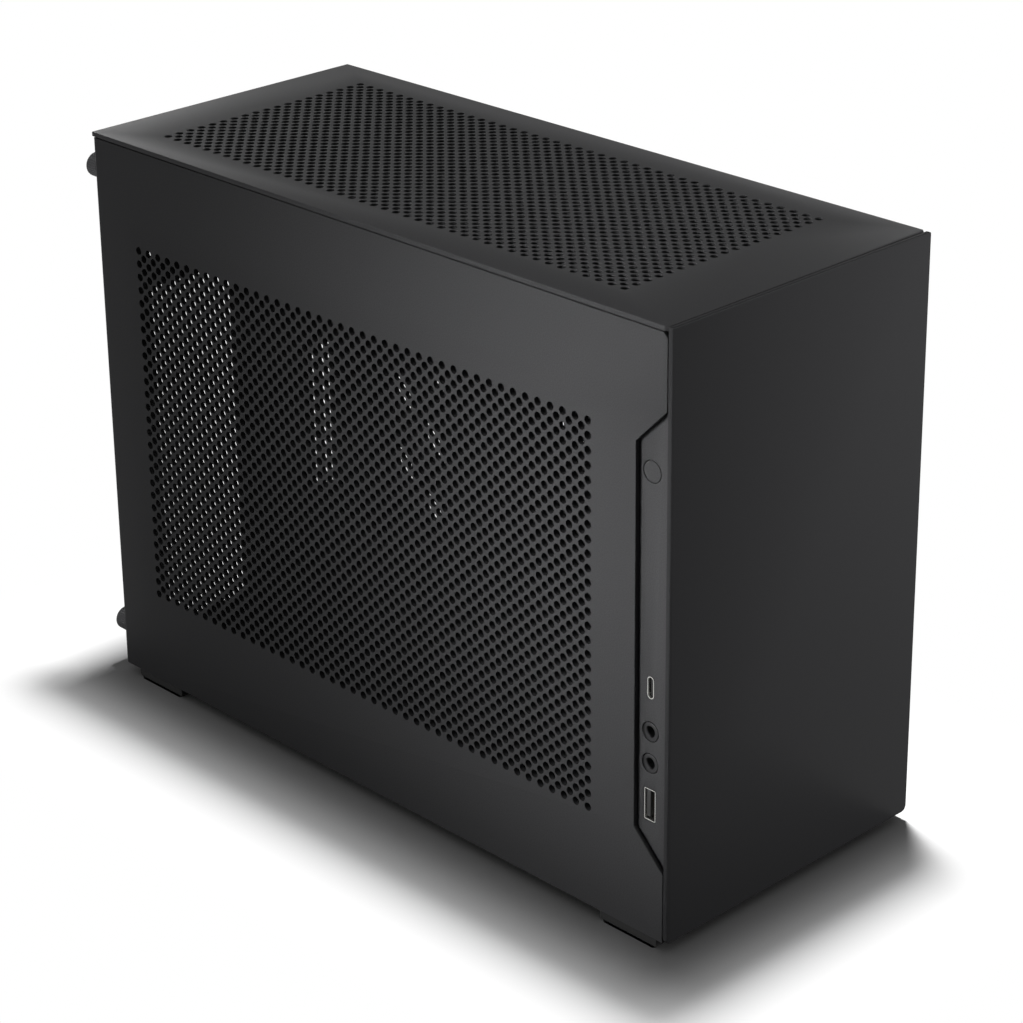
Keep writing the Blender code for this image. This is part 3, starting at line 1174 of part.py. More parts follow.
def type_a_socket(line):
    """The tall rectangular data socket, a bright shell with a tongue in it."""
    height = high(TYPE_A_HEIGHT)
    half_thin = TYPE_A_THIN / 2
    half_tall = TYPE_A_TALL / 2
    wall = SHELL_WALL
    back = TYPE_A_LENGTH - FRAME_X
    mesh = bmesh.new()
    prism(mesh, rectangle(line - half_thin, height - half_tall, line + half_thin, height + half_tall),
          "X", -FRAME_X, back)
    shell = node("type_a_socket", mesh, "bright_steel")
    cuts = bmesh.new()
    prism(cuts, rectangle(line - half_thin + wall, height - half_tall + wall, line + half_thin - wall,
                          height + half_tall - wall), "X", -FRAME_X - wall, back - 2 * wall)
    modify(shell, cuts, "DIFFERENCE")
    half_tongue = half_tall - TYPE_A_TONGUE_MARGIN
    rear = line + half_thin - wall - FIT
    tongue = bmesh.new()
    prism(tongue, rectangle(rear - TYPE_A_TONGUE_THICKNESS, height - half_tongue, rear, height + half_tongue),
          "X", TONGUE_SETBACK - FRAME_X, back - 2 * wall - FIT)
    node("type_a_tongue", tongue, "black_plastic")


def type_c_socket(line, board_front):
    """The small round-ended data socket on its raised base."""
    height = high(TYPE_C_HEIGHT)
    wall = SHELL_WALL
    back = TYPE_C_LENGTH - FRAME_X
    mesh = bmesh.new()
    prism(mesh, racetrack((line, height), TYPE_C_THIN, TYPE_C_TALL), "X", -FRAME_X, back)
    shell = node("type_c_socket", mesh, "bright_steel")
    half_base = TYPE_C_BASE / 2
    base = bmesh.new()
    prism(base, rectangle(line + TYPE_C_THIN / 2 - wall, height - half_base, board_front - FIT,
                          height + half_base), "X", BEHIND_FLANGE, back - wall)
    modify(shell, base, "UNION")
    cuts = bmesh.new()
    prism(cuts, racetrack((line, height), TYPE_C_THIN - 2 * wall, TYPE_C_TALL - 2 * wall), "X",
          -FRAME_X - wall, back - 2 * wall)
    modify(shell, cuts, "DIFFERENCE")
    half_thin = TYPE_C_TONGUE_THICKNESS / 2
    half_tall = TYPE_C_TONGUE_HEIGHT / 2
    tongue = bmesh.new()
    prism(tongue, rectangle(line - half_thin, height - half_tall, line + half_thin, height + half_tall), "X",
          TONGUE_SETBACK - FRAME_X, back - 2 * wall - FIT)
    node("type_c_tongue", tongue, "black_plastic")


def audio_jack(name, line, height):
    """A small audio socket: a round nose in the flange's hole and a square body behind it."""
    half = TYPE_A_THIN / 2
    half_tall = JACK_BODY_HEIGHT / 2
    mesh = bmesh.new()
    prism(mesh, rectangle(line - half, height - half_tall, line + half, height + half_tall), "X",
          BEHIND_FLANGE, BEHIND_FLANGE + JACK_BODY_LENGTH)
    jack = node(name, mesh, "black_plastic")
    nose = bmesh.new()
    prism(nose, polygon((line, height), JACK_RADIUS, 12), "X", -FRAME_X, BEHIND_FLANGE + 2 * FIT)
    modify(jack, nose, "UNION")
    bore = bmesh.new()
    prism(bore, polygon((line, height), JACK_BORE, 10), "X", -FRAME_X - FIT, BEHIND_FLANGE + JACK_BORE_LENGTH)
    modify(jack, bore, "DIFFERENCE")


# Riser for the graphics card

def riser():
    """The card socket that stands in the graphics card's chamber, on a bracket from the tray."""
    left = TRAY_RIGHT + FIT
    right = left + RISER_WIDTH
    start = deep(RISER_START)
    end = deep(RISER_START + RISER_LENGTH)
    path = [(right, high(RISER_SHELF)), (left, high(RISER_SHELF)), (left, high(RISER_SHELF - RISER_DROP))]
    mesh = bmesh.new()
    prism(mesh, folded(path, CHASSIS_SHEET), "Y", start, end)
    node("riser_bracket", mesh, "chassis_black")
    margin = RISER_BOARD_MARGIN
    board_low = high(RISER_SHELF) + FIT
    mesh = bmesh.new()
    prism(mesh, rectangle(left + margin, board_low, right - margin, board_low + BOARD_THICKNESS), "Y",
          start + margin, end - margin)
    node("riser_board", mesh, "circuit_board")
    low = board_low + BOARD_THICKNESS + FIT
    top = low + RISER_SOCKET_HEIGHT
    half = RISER_SOCKET_WIDTH / 2
    middle = FIRST_SLOT - RISER_FROM_FIRST_SLOT
    front = start + RISER_SOCKET_MARGIN
    back = end - RISER_SOCKET_MARGIN
    mesh = bmesh.new()
    prism(mesh, rectangle(middle - half, low, middle + half, top), "Y", front, back)
    socket = node("riser_socket", mesh, "black_plastic")
    half_slot = RISER_SLOT_WIDTH / 2
    wall = RISER_SOCKET_WALL
    cuts = bmesh.new()
    prism(cuts, rectangle(middle - half_slot, low + RISER_SOCKET_FLOOR, middle + half_slot, top + wall), "Y",
          front + wall, back - wall)
    modify(socket, cuts, "DIFFERENCE")


# Feet

def feet():
    """The four moulded feet and the screws that hold them."""
    outer = HALF_WIDTH - FOOT_SETBACK
    step = FRAME_X
    radius = FOOT_ROUNDING
    for side, start, name in foot_places():
        outline = [(outer - FOOT_WIDTH, high(BASE_LIFT) - FIT), (outer - FOOT_WIDTH, radius / 2),
                   (outer - FOOT_WIDTH + radius / 2, 0.0)]
        for k in range(4):
            angle = -math.pi / 2 + math.pi / 2 * k / 3
            outline.append((outer - radius + radius * math.cos(angle), radius + radius * math.sin(angle)))
        outline += [(outer, high(0.0) - FIT), (step, high(0.0) - FIT), (step, high(BASE_LIFT) - FIT)]
        mesh = bmesh.new()
        prism(mesh, outline if side > 0 else mirrored(outline), "Y", deep(start), deep(start + FOOT_LENGTH))
        foot = node(name, mesh, "rubber")
        centre = (side * FOOT_SCREW_X, deep(start + FOOT_LENGTH / 2))
        recess_radius = SMALL_HEAD_RADIUS + 2 * FIT
        cuts = bmesh.new()
        turned(cuts, [(recess_radius, -FOOT_RECESS), (recess_radius, FOOT_RECESS),
                      (SMALL_HOLE_RADIUS, FOOT_RECESS), (SMALL_HOLE_RADIUS, high(BASE_TOP))], centre, "Z", 10)
        for end, way in ((start, 1), (start + FOOT_LENGTH, -1)):
            y = deep(end)
            prism(cuts, [(y - way * radius, -radius), (y + way * radius, -radius),
                         (y - way * radius, radius)], "X", -HALF_WIDTH, HALF_WIDTH)
        modify(foot, cuts, "DIFFERENCE")
        pan_head_screw(name.replace("foot", "foot_screw"), centre, "Z", FOOT_RECESS, 1,
                       high(BASE_TOP) + FOOT_SCREW_TIP - FOOT_RECESS)


def build():
    """Builds the whole case in an empty scene."""
    for thing in list(bpy.data.objects):
        bpy.data.objects.remove(thing, do_unlink=True)
    base_panel()
    front_frame()
    rear_panel()
    top_rail("top_rail_left", -1)
    top_rail("top_rail_right", 1)
    radiator_bracket()
    motherboard_tray()
    power_supply_bracket()
    slot_frame()
    slot_covers()
    ac_inlet()
    power_button()
    io_board()
    riser()
    feet()
    front_panel()
    top_panel()
    for side, side_name in SIDES:
        cover = side_panel(side_name + "_side_panel", side, notched=side < 0)
        for height, level in ((SCREW_EDGE, "lower"), (BODY_HEIGHT - SCREW_EDGE, "upper")):
            thumbscrew("thumbscrew_" + side_name + "_" + level, side, height, cover)


build()
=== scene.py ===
"""Looks of a slim upright computer case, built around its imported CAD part.

Each new piece starts from a primitive that is shaped in edit mode, as by hand, and rides on a body of
the CAD part. Metres, +Z up. The front faces -Y, and the cover with the notch is at -X.
"""
import json
import logging
import math
from collections.abc import Callable, Iterator, Sequence
from contextlib import contextmanager
from dataclasses import dataclass
from enum import Enum

import bmesh
import bpy
from mathutils import Matrix, Vector

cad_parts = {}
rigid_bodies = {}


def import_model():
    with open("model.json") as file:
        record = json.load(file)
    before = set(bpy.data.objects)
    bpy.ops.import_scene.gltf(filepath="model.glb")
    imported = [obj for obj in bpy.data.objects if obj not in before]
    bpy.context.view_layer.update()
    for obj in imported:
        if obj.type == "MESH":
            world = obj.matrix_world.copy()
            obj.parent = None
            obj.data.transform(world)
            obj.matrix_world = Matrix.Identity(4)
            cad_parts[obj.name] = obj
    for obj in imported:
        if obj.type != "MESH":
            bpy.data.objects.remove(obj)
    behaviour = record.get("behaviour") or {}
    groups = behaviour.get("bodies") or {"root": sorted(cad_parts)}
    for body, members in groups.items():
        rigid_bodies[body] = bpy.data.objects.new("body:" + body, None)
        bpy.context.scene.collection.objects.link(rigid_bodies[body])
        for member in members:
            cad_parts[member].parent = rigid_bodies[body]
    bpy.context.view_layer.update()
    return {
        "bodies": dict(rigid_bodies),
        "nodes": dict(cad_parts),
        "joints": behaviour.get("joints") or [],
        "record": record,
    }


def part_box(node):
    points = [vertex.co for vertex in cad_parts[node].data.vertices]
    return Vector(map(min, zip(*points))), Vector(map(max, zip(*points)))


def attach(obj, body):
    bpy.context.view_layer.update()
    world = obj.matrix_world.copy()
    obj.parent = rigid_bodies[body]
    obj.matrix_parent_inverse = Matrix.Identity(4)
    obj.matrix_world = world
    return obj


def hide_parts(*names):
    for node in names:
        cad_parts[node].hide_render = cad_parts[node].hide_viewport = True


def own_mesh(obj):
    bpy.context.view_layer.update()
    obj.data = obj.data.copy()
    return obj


LOG = logging.getLogger("case")
MM = 0.001
# A direction counts as along an axis from this share of it on
ALONG = 0.9
# Two places count as one within this distance
NEAR = 0.1 * MM
# How far a punch reaches to both sides of a thin sheet
PUNCH_REACH = 4.0 * MM

Thing = bpy.types.Object
Point = Sequence[float]
Pair = tuple[float, float]
Test = Callable[[Vector, Vector], bool]


@dataclass(frozen=True)
class CaseSizes:
    """Main sizes of the case, in metres, which several sub-assemblies share."""

    half_width: float = 70.0 * MM
    depth: float = 326.0 * MM
    height: float = 244.0 * MM
    foot_height: float = 4.5 * MM
    front: float = -167.15 * MM
    plate: float = 2.0 * MM
    steel: float = 1.2 * MM
    fit: float = 0.3 * MM
    seam: float = 0.4 * MM
    frame_x: float = 67.5 * MM
    frame_inner_x: float = 66.3 * MM
    frame_front: float = 2.3 * MM
    frame_back: float = 323.7 * MM
    frame_top: float = 241.7 * MM
    cover_top: float = 241.6 * MM
    rail_front: float = 24.6 * MM
    rail_back: float = 309.4 * MM
    bend: float = 0.6 * MM
    screw_x: float = 63.4 * MM
    screw_edge: float = 17.0 * MM

    def deep(self, distance: float) -> float:
        """Y of a point that lies this far behind the front face."""
        return self.front + distance

    def high(self, distance: float) -> float:
        """Z of a point that lies this far above the covers' lower edge."""
        return self.foot_height + distance

    def screw_heights(self) -> tuple[float, float]:
        """Heights of the thumbscrews above the covers' lower edge."""
        return self.screw_edge, self.height - self.screw_edge


CASE = CaseSizes()
deep = CASE.deep
high = CASE.high


@dataclass(frozen=True)
class PortPlaces:
    """Where the button and the sockets are: behind the front face, and above the covers' lower edge."""

    line: float = 11.3 * MM
    button: float = 186.8 * MM
    type_c: float = 102.0 * MM
    upper_jack: float = 84.1 * MM
    lower_jack: float = 71.1 * MM
    type_a: float = 53.9 * MM


PORTS = PortPlaces()


class Kind(Enum):
    """What a pick in edit mode selects."""

    EDGES = (False, True, False)
    FACES = (False, False, True)


class Axis(Enum):
    """The axis that a piece runs along, with the turn from +Z to it."""

    X = (0.0, math.pi / 2, 0.0)
    Y = (-math.pi / 2, 0.0, 0.0)
    Z = (0.0, 0.0, 0.0)


# Modelling tools


def only(piece: Thing) -> None:
    """Selects one piece alone, because an operator acts on all that is selected."""
    bpy.ops.object.select_all(action="DESELECT")
    piece.select_set(True)
    bpy.context.view_layer.objects.active = piece


def settle(piece: Thing) -> Thing:
    """Puts a piece's place, turn and size into its mesh.

    Args:
        piece: The piece.

    Returns:
        The same piece, whose object is at the origin.
    """
    only(piece)
    bpy.ops.object.transform_apply(location=True, rotation=True, scale=True)
    return piece


@contextmanager
def shaping(piece: Thing) -> Iterator[None]:
    """Edit mode on one piece, with nothing selected at first."""
    only(piece)
    bpy.ops.object.mode_set(mode="EDIT")
    bpy.ops.mesh.select_all(action="DESELECT")
    yield
    bpy.ops.object.mode_set(mode="OBJECT")


def pick(kind: Kind, test: Test) -> None:
    """Selects the faces or edges of the piece in edit mode that pass a test.

    Args:
        kind: Faces or edges.
        test: Is given a face's centre and normal, or an edge's middle and direction.
    """
    bpy.context.tool_settings.mesh_select_mode = kind.value
    bpy.ops.mesh.select_all(action="DESELECT")
    mesh = bmesh.from_edit_mesh(bpy.context.edit_object.data)
    if kind is Kind.FACES:
        for face in mesh.faces:
            face.select_set(test(face.calc_center_median(), face.normal))
    else:
        for edge in mesh.edges:
            start, end = (v.co for v in edge.verts)
            edge.select_set(test((start + end) / 2, (end - start).normalized()))
    bmesh.update_edit_mesh(bpy.context.edit_object.data)


def extrude(x: float = 0.0, y: float = 0.0, z: float = 0.0) -> None:
    """Extrudes what is selected by a distance along each axis."""
    bpy.ops.mesh.extrude_region_move(TRANSFORM_OT_translate={"value": (x, y, z)})


def score(axis: Axis, place: float) -> None:
    """Cuts the whole piece in edit mode in two along a plane square to an axis."""
    normal = Vector([float(letter == axis.name) for letter in "XYZ"])
    bpy.ops.mesh.select_all(action="SELECT")
    bpy.ops.mesh.bisect(plane_co=normal * place, plane_no=normal)


def round_edges(radius: float, segments: int, test: Test) -> None:
    """Rounds the edges of the piece in edit mode that pass a test."""
    pick(Kind.EDGES, test)
    bpy.ops.mesh.bevel(offset=radius, segments=segments, affect="EDGES")


def block(name: str, low: Point, top: Point) -> Thing:
    """A block between two corners, to be shaped further.

    Args:
        name: Name of the piece.
        low: Its lowest corner.
        top: Its highest corner.

    Returns:
        The piece.
    """
    low, top = Vector(low), Vector(top)
    bpy.ops.object.select_all(action="DESELECT")
    bpy.ops.mesh.primitive_cube_add(size=1.0, location=(low + top) / 2)
    piece = bpy.context.object
    piece.name = name
    piece.scale = top - low
    return settle(piece)


def rings(*pairs: Pair) -> tuple[Pair, ...]:
    """The profile of a turned piece, from each ring's radius and place in millimetres."""
    return tuple((radius * MM, place * MM) for radius, place in pairs)


def turned(name: str, axis: Axis, centre: Point, profile: Sequence[Pair], sides: int = 32,
           tube: bool = False) -> Thing:
    """A turned piece: a ring that is extruded along an axis and resized at each step of its profile.

    Args:
        name: Name of the piece.
        axis: Axis that it is turned round.
        centre: Point of the axis that the profile's places start from.
        profile: Radius and place along the axis of each ring.
        sides: Number of sides.
        tube: True if the last ring meets the first, as on a washer.

    Returns:
        The piece.
    """
    radius, place = profile[0]
    bpy.ops.object.select_all(action="DESELECT")
    bpy.ops.mesh.primitive_circle_add(vertices=sides, radius=radius, location=(0.0, 0.0, place),
                                      fill_type="NOTHING" if tube else "NGON")
    piece = settle(bpy.context.object)
    piece.name = name
    with shaping(piece):
        bpy.context.tool_settings.mesh_select_mode = (Kind.EDGES if tube else Kind.FACES).value
        bpy.ops.mesh.select_all(action="SELECT")
        for (before, start), (after, end) in zip(profile, profile[1:]):
            extrude(z=end - start)
            change = after / before
            bpy.ops.transform.resize(value=(change, change, 1.0), center_override=(0.0, 0.0, end))
        bpy.ops.mesh.select_all(action="SELECT")
        if tube:
            bpy.ops.mesh.remove_doubles(threshold=NEAR / 100)
        bpy.ops.mesh.normals_make_consistent(inside=False)
    piece.rotation_euler = axis.value
    piece.location = centre
    return settle(piece)


def round_punch(axis: Axis, centre: Point, radius: float, reach: float = PUNCH_REACH,
                sides: int = 24) -> Thing:
    """A round punch that reaches equally far to both sides of its centre.

    Args:
        axis: Axis that it cuts along.
        centre: Its middle.
        radius: Its radius.
        reach: How far it reaches to each side.
        sides: Number of sides.

    Returns:
        The punch.
    """
    return turned("round_punch", axis, centre, [(radius, -reach), (radius, reach)], sides)


def slot_punch(name: str, low: Point, top: Point, axis: Axis, radius: float, segments: int = 5) -> Thing:
    """A block whose four edges along an axis are rounded, as a punch or as a piece.

    Args:
        name: Its name.
        low: Its lowest corner.
        top: Its highest corner.
        axis: Axis that it cuts along.
        radius: Radius of its rounded edges.
        segments: Faces in each rounding.

    Returns:
        The block.
    """
    punch = block(name, low, top)
    index = "XYZ".index(axis.name)
    with shaping(punch):
        round_edges(radius, segments, lambda at, way: abs(way[index]) > ALONG)
    return punch


def repeat(piece: Thing, step: Point, count: int) -> None:
    """Repeats a piece's mesh in a row."""
    only(piece)
    row = piece.modifiers.new("Row", "ARRAY")
    row.count = count
    row.use_relative_offset = False
    row.use_constant_offset = True
    row.constant_offset_displace = step
    bpy.ops.object.modifier_apply(modifier=row.name)


def apply_boolean(piece: Thing, tool: Thing, operation: str, solver: str = "EXACT") -> None:
    """Cuts a tool out of a piece or joins it on, and keeps the tool."""
    only(piece)
    boolean = piece.modifiers.new("Shape", "BOOLEAN")
    boolean.operation = operation
    boolean.solver = solver
    boolean.object = tool
    bpy.ops.object.modifier_apply(modifier=boolean.name)


def cut(piece: Thing, *punches: Thing) -> None:
    """Cuts punches out of a piece and throws them away."""
    for punch in punches:
        apply_boolean(piece, punch, "DIFFERENCE")
        bpy.data.objects.remove(punch)


def cross_punch(axis: Axis, mouth: float, bottom: float, reach: float, half: float,
                taper: float) -> Thing:
    """A punch for a cross recess, which narrows to its bottom.

    Args:
        axis: Axis that it cuts along.
        mouth: Place of its wide end on that axis.
        bottom: Place of its narrow end on that axis.
        reach: Length of each arm from the middle.
        half: Half an arm's width.
        taper: The bottom's size as a share of the mouth's.

    Returns:
        The punch.
    """
    index = "XYZ".index(axis.name)
    inwards = math.copysign(1.0, bottom - mouth)
    narrowing = [taper, taper, taper]
    narrowing[index] = 1.0
    centre = [0.0, 0.0, 0.0]
    centre[index] = bottom
    bars = []
    for arm in ((reach, half), (half, reach)):
        low, top = [-size for size in arm], list(arm)
        low.insert(index, min(mouth, bottom))
        top.insert(index, max(mouth, bottom))
        bar = block("bar", low, top)
        with shaping(bar):
            pick(Kind.FACES, lambda at, way: way[index] * inwards > ALONG)
            bpy.ops.transform.resize(value=narrowing, center_override=centre)
        bars.append(bar)
    apply_boolean(bars[0], bars[1], "UNION")
    bpy.data.objects.remove(bars[1])
    return bars[0]


def join(name: str, *pieces: Thing) -> Thing:
    """Makes several meshes one piece.

    Args:
        name: Name of the piece.
        pieces: The meshes.

    Returns:
        The piece.
    """
    only(pieces[0])
    for piece in pieces:
        piece.select_set(True)
    bpy.ops.object.join()
    pieces[0].name = name
    return pieces[0]


def copy(piece: Thing, name: str, move: Point = (0.0, 0.0, 0.0), mirror: bool = False) -> Thing:
    """A copy of a piece with a mesh of its own.

    Args:
        piece: The piece to copy.
        name: Name of the copy.
        move: How far the copy lies from the piece.
        mirror: True if the copy is mirrored at X = 0 first.

    Returns:
        The copy.
    """
    double = piece.copy()
    double.data = piece.data.copy()
    double.name = name
    bpy.context.scene.collection.objects.link(double)
    if mirror:
        double.scale.x = -1.0
        settle(double)
        with shaping(double):
            bpy.ops.mesh.select_all(action="SELECT")
            bpy.ops.mesh.normals_make_consistent(inside=False)
    double.location = move
    return settle(double)


def soften(piece: Thing, width: float, segments: int = 2, degrees: float = 40.0) -> None:
    """Gives a piece's sharp edges a fine rounding, which catches the light."""
    only(piece)
    edge = piece.modifiers.new("Edge", "BEVEL")
    edge.width = width
    edge.segments = segments
    edge.limit_method = "ANGLE"
    edge.angle_limit = math.radians(degrees)
    bpy.ops.object.modifier_apply(modifier=edge.name)


def smooth(piece: Thing, degrees: float = 30.0) -> None:
    """Shades a piece smooth, apart from its sharp edges."""
    only(piece)
    bpy.ops.object.shade_smooth_by_angle(angle=math.radians(degrees))


# Materials


def linear(colour: str) -> tuple[float, float, float, float]:
    """Turns an sRGB hex colour to linear values with full alpha."""
    shares = [int(colour[i:i + 2], 16) / 255 for i in (1, 3, 5)]
    return (*(s / 12.92 if s <= 0.04045 else ((s + 0.055) / 1.055) ** 2.4 for s in shares), 1.0)


def add_node(tree: bpy.types.NodeTree, kind: str, links: dict | None = None,
             **settings: object) -> bpy.types.Node:
    """Adds a shader node.

    Args:
        tree: The tree that it goes into.
        kind: The node's type.
        links: Sockets that feed its inputs, or values for them, by the input's name or number.
        settings: The node's own properties.

    Returns:
        The node.
    """
    node = tree.nodes.new(kind)
    for name, value in settings.items():
        setattr(node, name, value)
    for name, source in (links or {}).items():
        if isinstance(source, bpy.types.NodeSocket):
            tree.links.new(source, node.inputs[name])
        else:
            node.inputs[name].default_value = source
    return node


@dataclass(frozen=True)
class Finish:
    """A surface finish, with the real material's typical values.

    Attributes:
        name: The material's common name.
        colour: Its sRGB colour.
        roughness: How wide its gloss spreads.
        metallic: One for bare metal.
        specular: Strength of a dielectric's gloss.
        ior: Index of refraction of a dielectric.
        grain: Size of its surface texture, in metres, or zero.
        depth: Height of that texture, in metres.
        mottle: How far the texture lightens and darkens the colour.
    """

    name: str
    colour: str
    roughness: float
    metallic: float = 0.0
    specular: float = 0.5
    ior: float = 1.5
    grain: float = 0.0
    depth: float = 0.0
    mottle: float = 0.0

    def make(self) -> bpy.types.Material:
        """Builds the material.

        Returns:
            The material, with its texture on Object coordinates.
        """
        material = bpy.data.materials.new(self.name)
        material.use_nodes = True
        tree = material.node_tree
        shader = tree.nodes["Principled BSDF"]
        shader.inputs["Base Color"].default_value = linear(self.colour)
        shader.inputs["Roughness"].default_value = self.roughness
        shader.inputs["Metallic"].default_value = self.metallic
        if not self.metallic:
            shader.inputs["Specular IOR Level"].default_value = self.specular
            shader.inputs["IOR"].default_value = self.ior
        if self.grain:
            place = add_node(tree, "ShaderNodeTexCoord").outputs["Object"]
            noise = add_node(tree, "ShaderNodeTexNoise", {"Vector": place, "Scale": 1.0 / self.grain,
                                                          "Detail": 2.0, "Roughness": 0.6})
            bump = add_node(tree, "ShaderNodeBump", {"Height": noise.outputs["Fac"], "Distance": self.depth,
                                                     "Strength": 1.0})
            tree.links.new(bump.outputs["Normal"], shader.inputs["Normal"])
            if self.mottle:
                dark, light = (tuple(c * (1 + way * self.mottle) for c in linear(self.colour)[:3]) + (1.0,)
                               for way in (-1, 1))
                # The mix node's colours are its inputs 6 and 7 and its output 2
                tone = add_node(tree, "ShaderNodeMix", {"Factor": noise.outputs["Fac"], 6: dark, 7: light},
                                data_type="RGBA")
                tree.links.new(tone.outputs[2], shader.inputs["Base Color"])
        return material


class Finishes:
    """The finishes of the case, each made once."""

    # Fine polyester powder on aluminium sheet: matte black, with a grit that is drawn 0.5 mm wide, because
    # the real 0.2 mm would not show
    POWDER = Finish("powder_coated_aluminium", "#3c3c3d", 0.55, specular=0.03, grain=0.5 * MM,
                    depth=0.03 * MM, mottle=0.35)
    # Blasted and black anodised aluminium plate: darker and smoother, with a broad soft gloss
    ANODISED = Finish("anodised_aluminium", "#2e2e2f", 0.42, specular=0.01, grain=0.3 * MM,
                      depth=0.006 * MM, mottle=0.12)
    # Black painted steel of the chassis: even and satin; its colour is darker than the front frame's as
    # painted shade for the inside seen through the holes
    PAINTED = Finish("steel_paint_and_shade", "#151515", 0.5, specular=0.05, grain=0.8 * MM, depth=0.008 * MM)
    # Moulded black ABS: slightly glossy
    ABS = Finish("moulded_abs", "#141414", 0.4, specular=0.5, grain=0.6 * MM, depth=0.004 * MM)
    # Moulded rubber: dull, with no clear highlight
    RUBBER = Finish("moulded_rubber", "#1b1b1b", 0.85, specular=0.3, ior=1.52, grain=0.8 * MM,
                    depth=0.02 * MM)
    # Black oxide on steel: dark metal whose edges catch the light
    BLACK_OXIDE = Finish("black_oxide_steel", "#3a3a3b", 0.36, metallic=1.0)
    # Nickel plate on stamped steel: bright and nearly white
    NICKEL = Finish("nickel_plated_steel", "#c9c9c6", 0.24, metallic=1.0)
    # Gold flash on contacts: warm and bright
    GOLD = Finish("gold_plated_contact", "#e0b45a", 0.25, metallic=1.0)
    # Black solder mask over fibreglass board: dark, with a thin lacquer gloss
    SOLDER_MASK = Finish("solder_mask", "#0e1410", 0.35, specular=0.5)

    def __init__(self) -> None:
        """Starts with no material made."""
        self.made: dict[str, bpy.types.Material] = {}

    def get(self, finish: Finish) -> bpy.types.Material:
        """The material of a finish, made when it is first asked for."""
        if finish.name not in self.made:
            self.made[finish.name] = finish.make()
        return self.made[finish.name]


@dataclass(frozen=True)
class Trade:
    """What a kind of piece is made of, in the record's and in the scene's words."""

    finish: Finish
    slot: str


# The front frame and the button look powder coated like the covers, and their trades name the record slots
POWDER = Trade(Finishes.POWDER, "powder_coat")
ANODISED = Trade(Finishes.ANODISED, "anodised")
# Painted shade: the chassis inside the case is darker than its front frame, which takes the covers' coat
PAINTED = Trade(Finishes.PAINTED, "chassis_black")
PLASTIC = Trade(Finishes.ABS, "black_plastic")
RUBBER = Trade(Finishes.RUBBER, "rubber")
FRAME = Trade(Finishes.POWDER, "chassis_black")
BUTTON = Trade(Finishes.POWDER, "anodised")
SCREW = Trade(Finishes.BLACK_OXIDE, "black_screw")
NICKEL = Trade(Finishes.NICKEL, "bright_steel")
BOARD = Trade(Finishes.SOLDER_MASK, "circuit_board")
GOLD = Trade(Finishes.GOLD, "bright_steel")


class SubAssembly:
    """A group of pieces that are built, dressed and put on their bodies together."""

    def __init__(self, finishes: Finishes, frame: dict) -> None:
        """Keeps the finishes and the loaded CAD frame."""
        self.finishes = finishes
        self.frame = frame

    def dress(self, piece: Thing, trade: Trade, body: str, *nodes: str, degrees: float = 30.0) -> Thing:
        """Gives a finished piece its material, shading and body.

        Args:
            piece: The piece.
            trade: What it is made of.
            body: The CAD body that it moves with.
            nodes: The CAD nodes that it stands for.
            degrees: Angle below which its faces are shaded as one.

        Returns:
            The piece.
        """
        smooth(piece, degrees)
        piece.data.materials.clear()
        piece.data.materials.append(self.finishes.get(trade.finish))
        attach(piece, body)
        if nodes:
            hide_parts(*nodes)
        LOG.info("%s: %d faces on %s", piece.name, len(piece.data.polygons), body)
        return piece


# Covers


@dataclass(frozen=True)
class StudSizes:
    """Sizes of the ball studs that snap the front and top covers on."""

    neck: float = 1.5 * MM
    root: float = 0.5 * MM
    ball: float = 2.2 * MM
    tip: float = 0.6 * MM
    flatness: float = 0.75
    shoulder: float = 2.6 * MM
    snap: float = 3.6 * MM
    x: float = 62.0 * MM
    front_end: float = 16.0 * MM
    top_end: float = 15.2 * MM
    steps: int = 6
    sides: int = 20


class BallStuds(SubAssembly):
    """The ball studs of the front and top covers, one turned and then copied."""

    sizes = StudSizes()

    def profile(self, reach: float) -> list[Pair]:
        """Rings of a stud, from inside the plate to its tip.

        Args:
            reach: Distance from the plate's inner face to the chassis face that it snaps into.

        Returns:
            Radius and place of each ring.
        """
        s = self.sizes
        profile = [(s.neck, -s.root), (s.neck, reach + s.shoulder)]
        middle = reach + s.snap
        for k in range(s.steps + 1):
            angle = -math.pi / 4 + (math.pi / 2 + math.pi / 4) * k / s.steps
            profile.append((max(s.ball * math.cos(angle), s.tip),
                            middle + s.ball * s.flatness * math.sin(angle)))
        return profile

    def build(self) -> None:
        """Builds four studs on the front cover and four on the top cover."""
        s = self.sizes
        front = turned("front_stud", Axis.Y, (0.0, deep(CASE.plate), 0.0), self.profile(CASE.fit), s.sides)
        top = turned("top_stud", Axis.Z, (0.0, 0.0, 0.0), self.profile(CASE.fit), s.sides)
        top.rotation_euler = (math.pi, 0.0, 0.0)
        top.location = (0.0, 0.0, high(CASE.height - CASE.plate))
        settle(top)
        for side, side_name in ((-1, "left"), (1, "right")):
            for z, level in ((high(s.front_end), "lower"), (high(CASE.frame_top - s.front_end), "upper")):
                stud = copy(front, f"front_stud_{side_name}_{level}", (side * s.x, 0.0, z))
                self.dress(stud, NICKEL, "front_cover")
            for y, end in ((deep(CASE.rail_front + s.top_end), "front"),
                           (deep(CASE.rail_back - s.top_end), "rear")):
                stud = copy(top, f"top_stud_{side_name}_{end}", (side * s.x, y, 0.0))
                self.dress(stud, NICKEL, "top_cover")
        bpy.data.objects.remove(front)
        bpy.data.objects.remove(top)


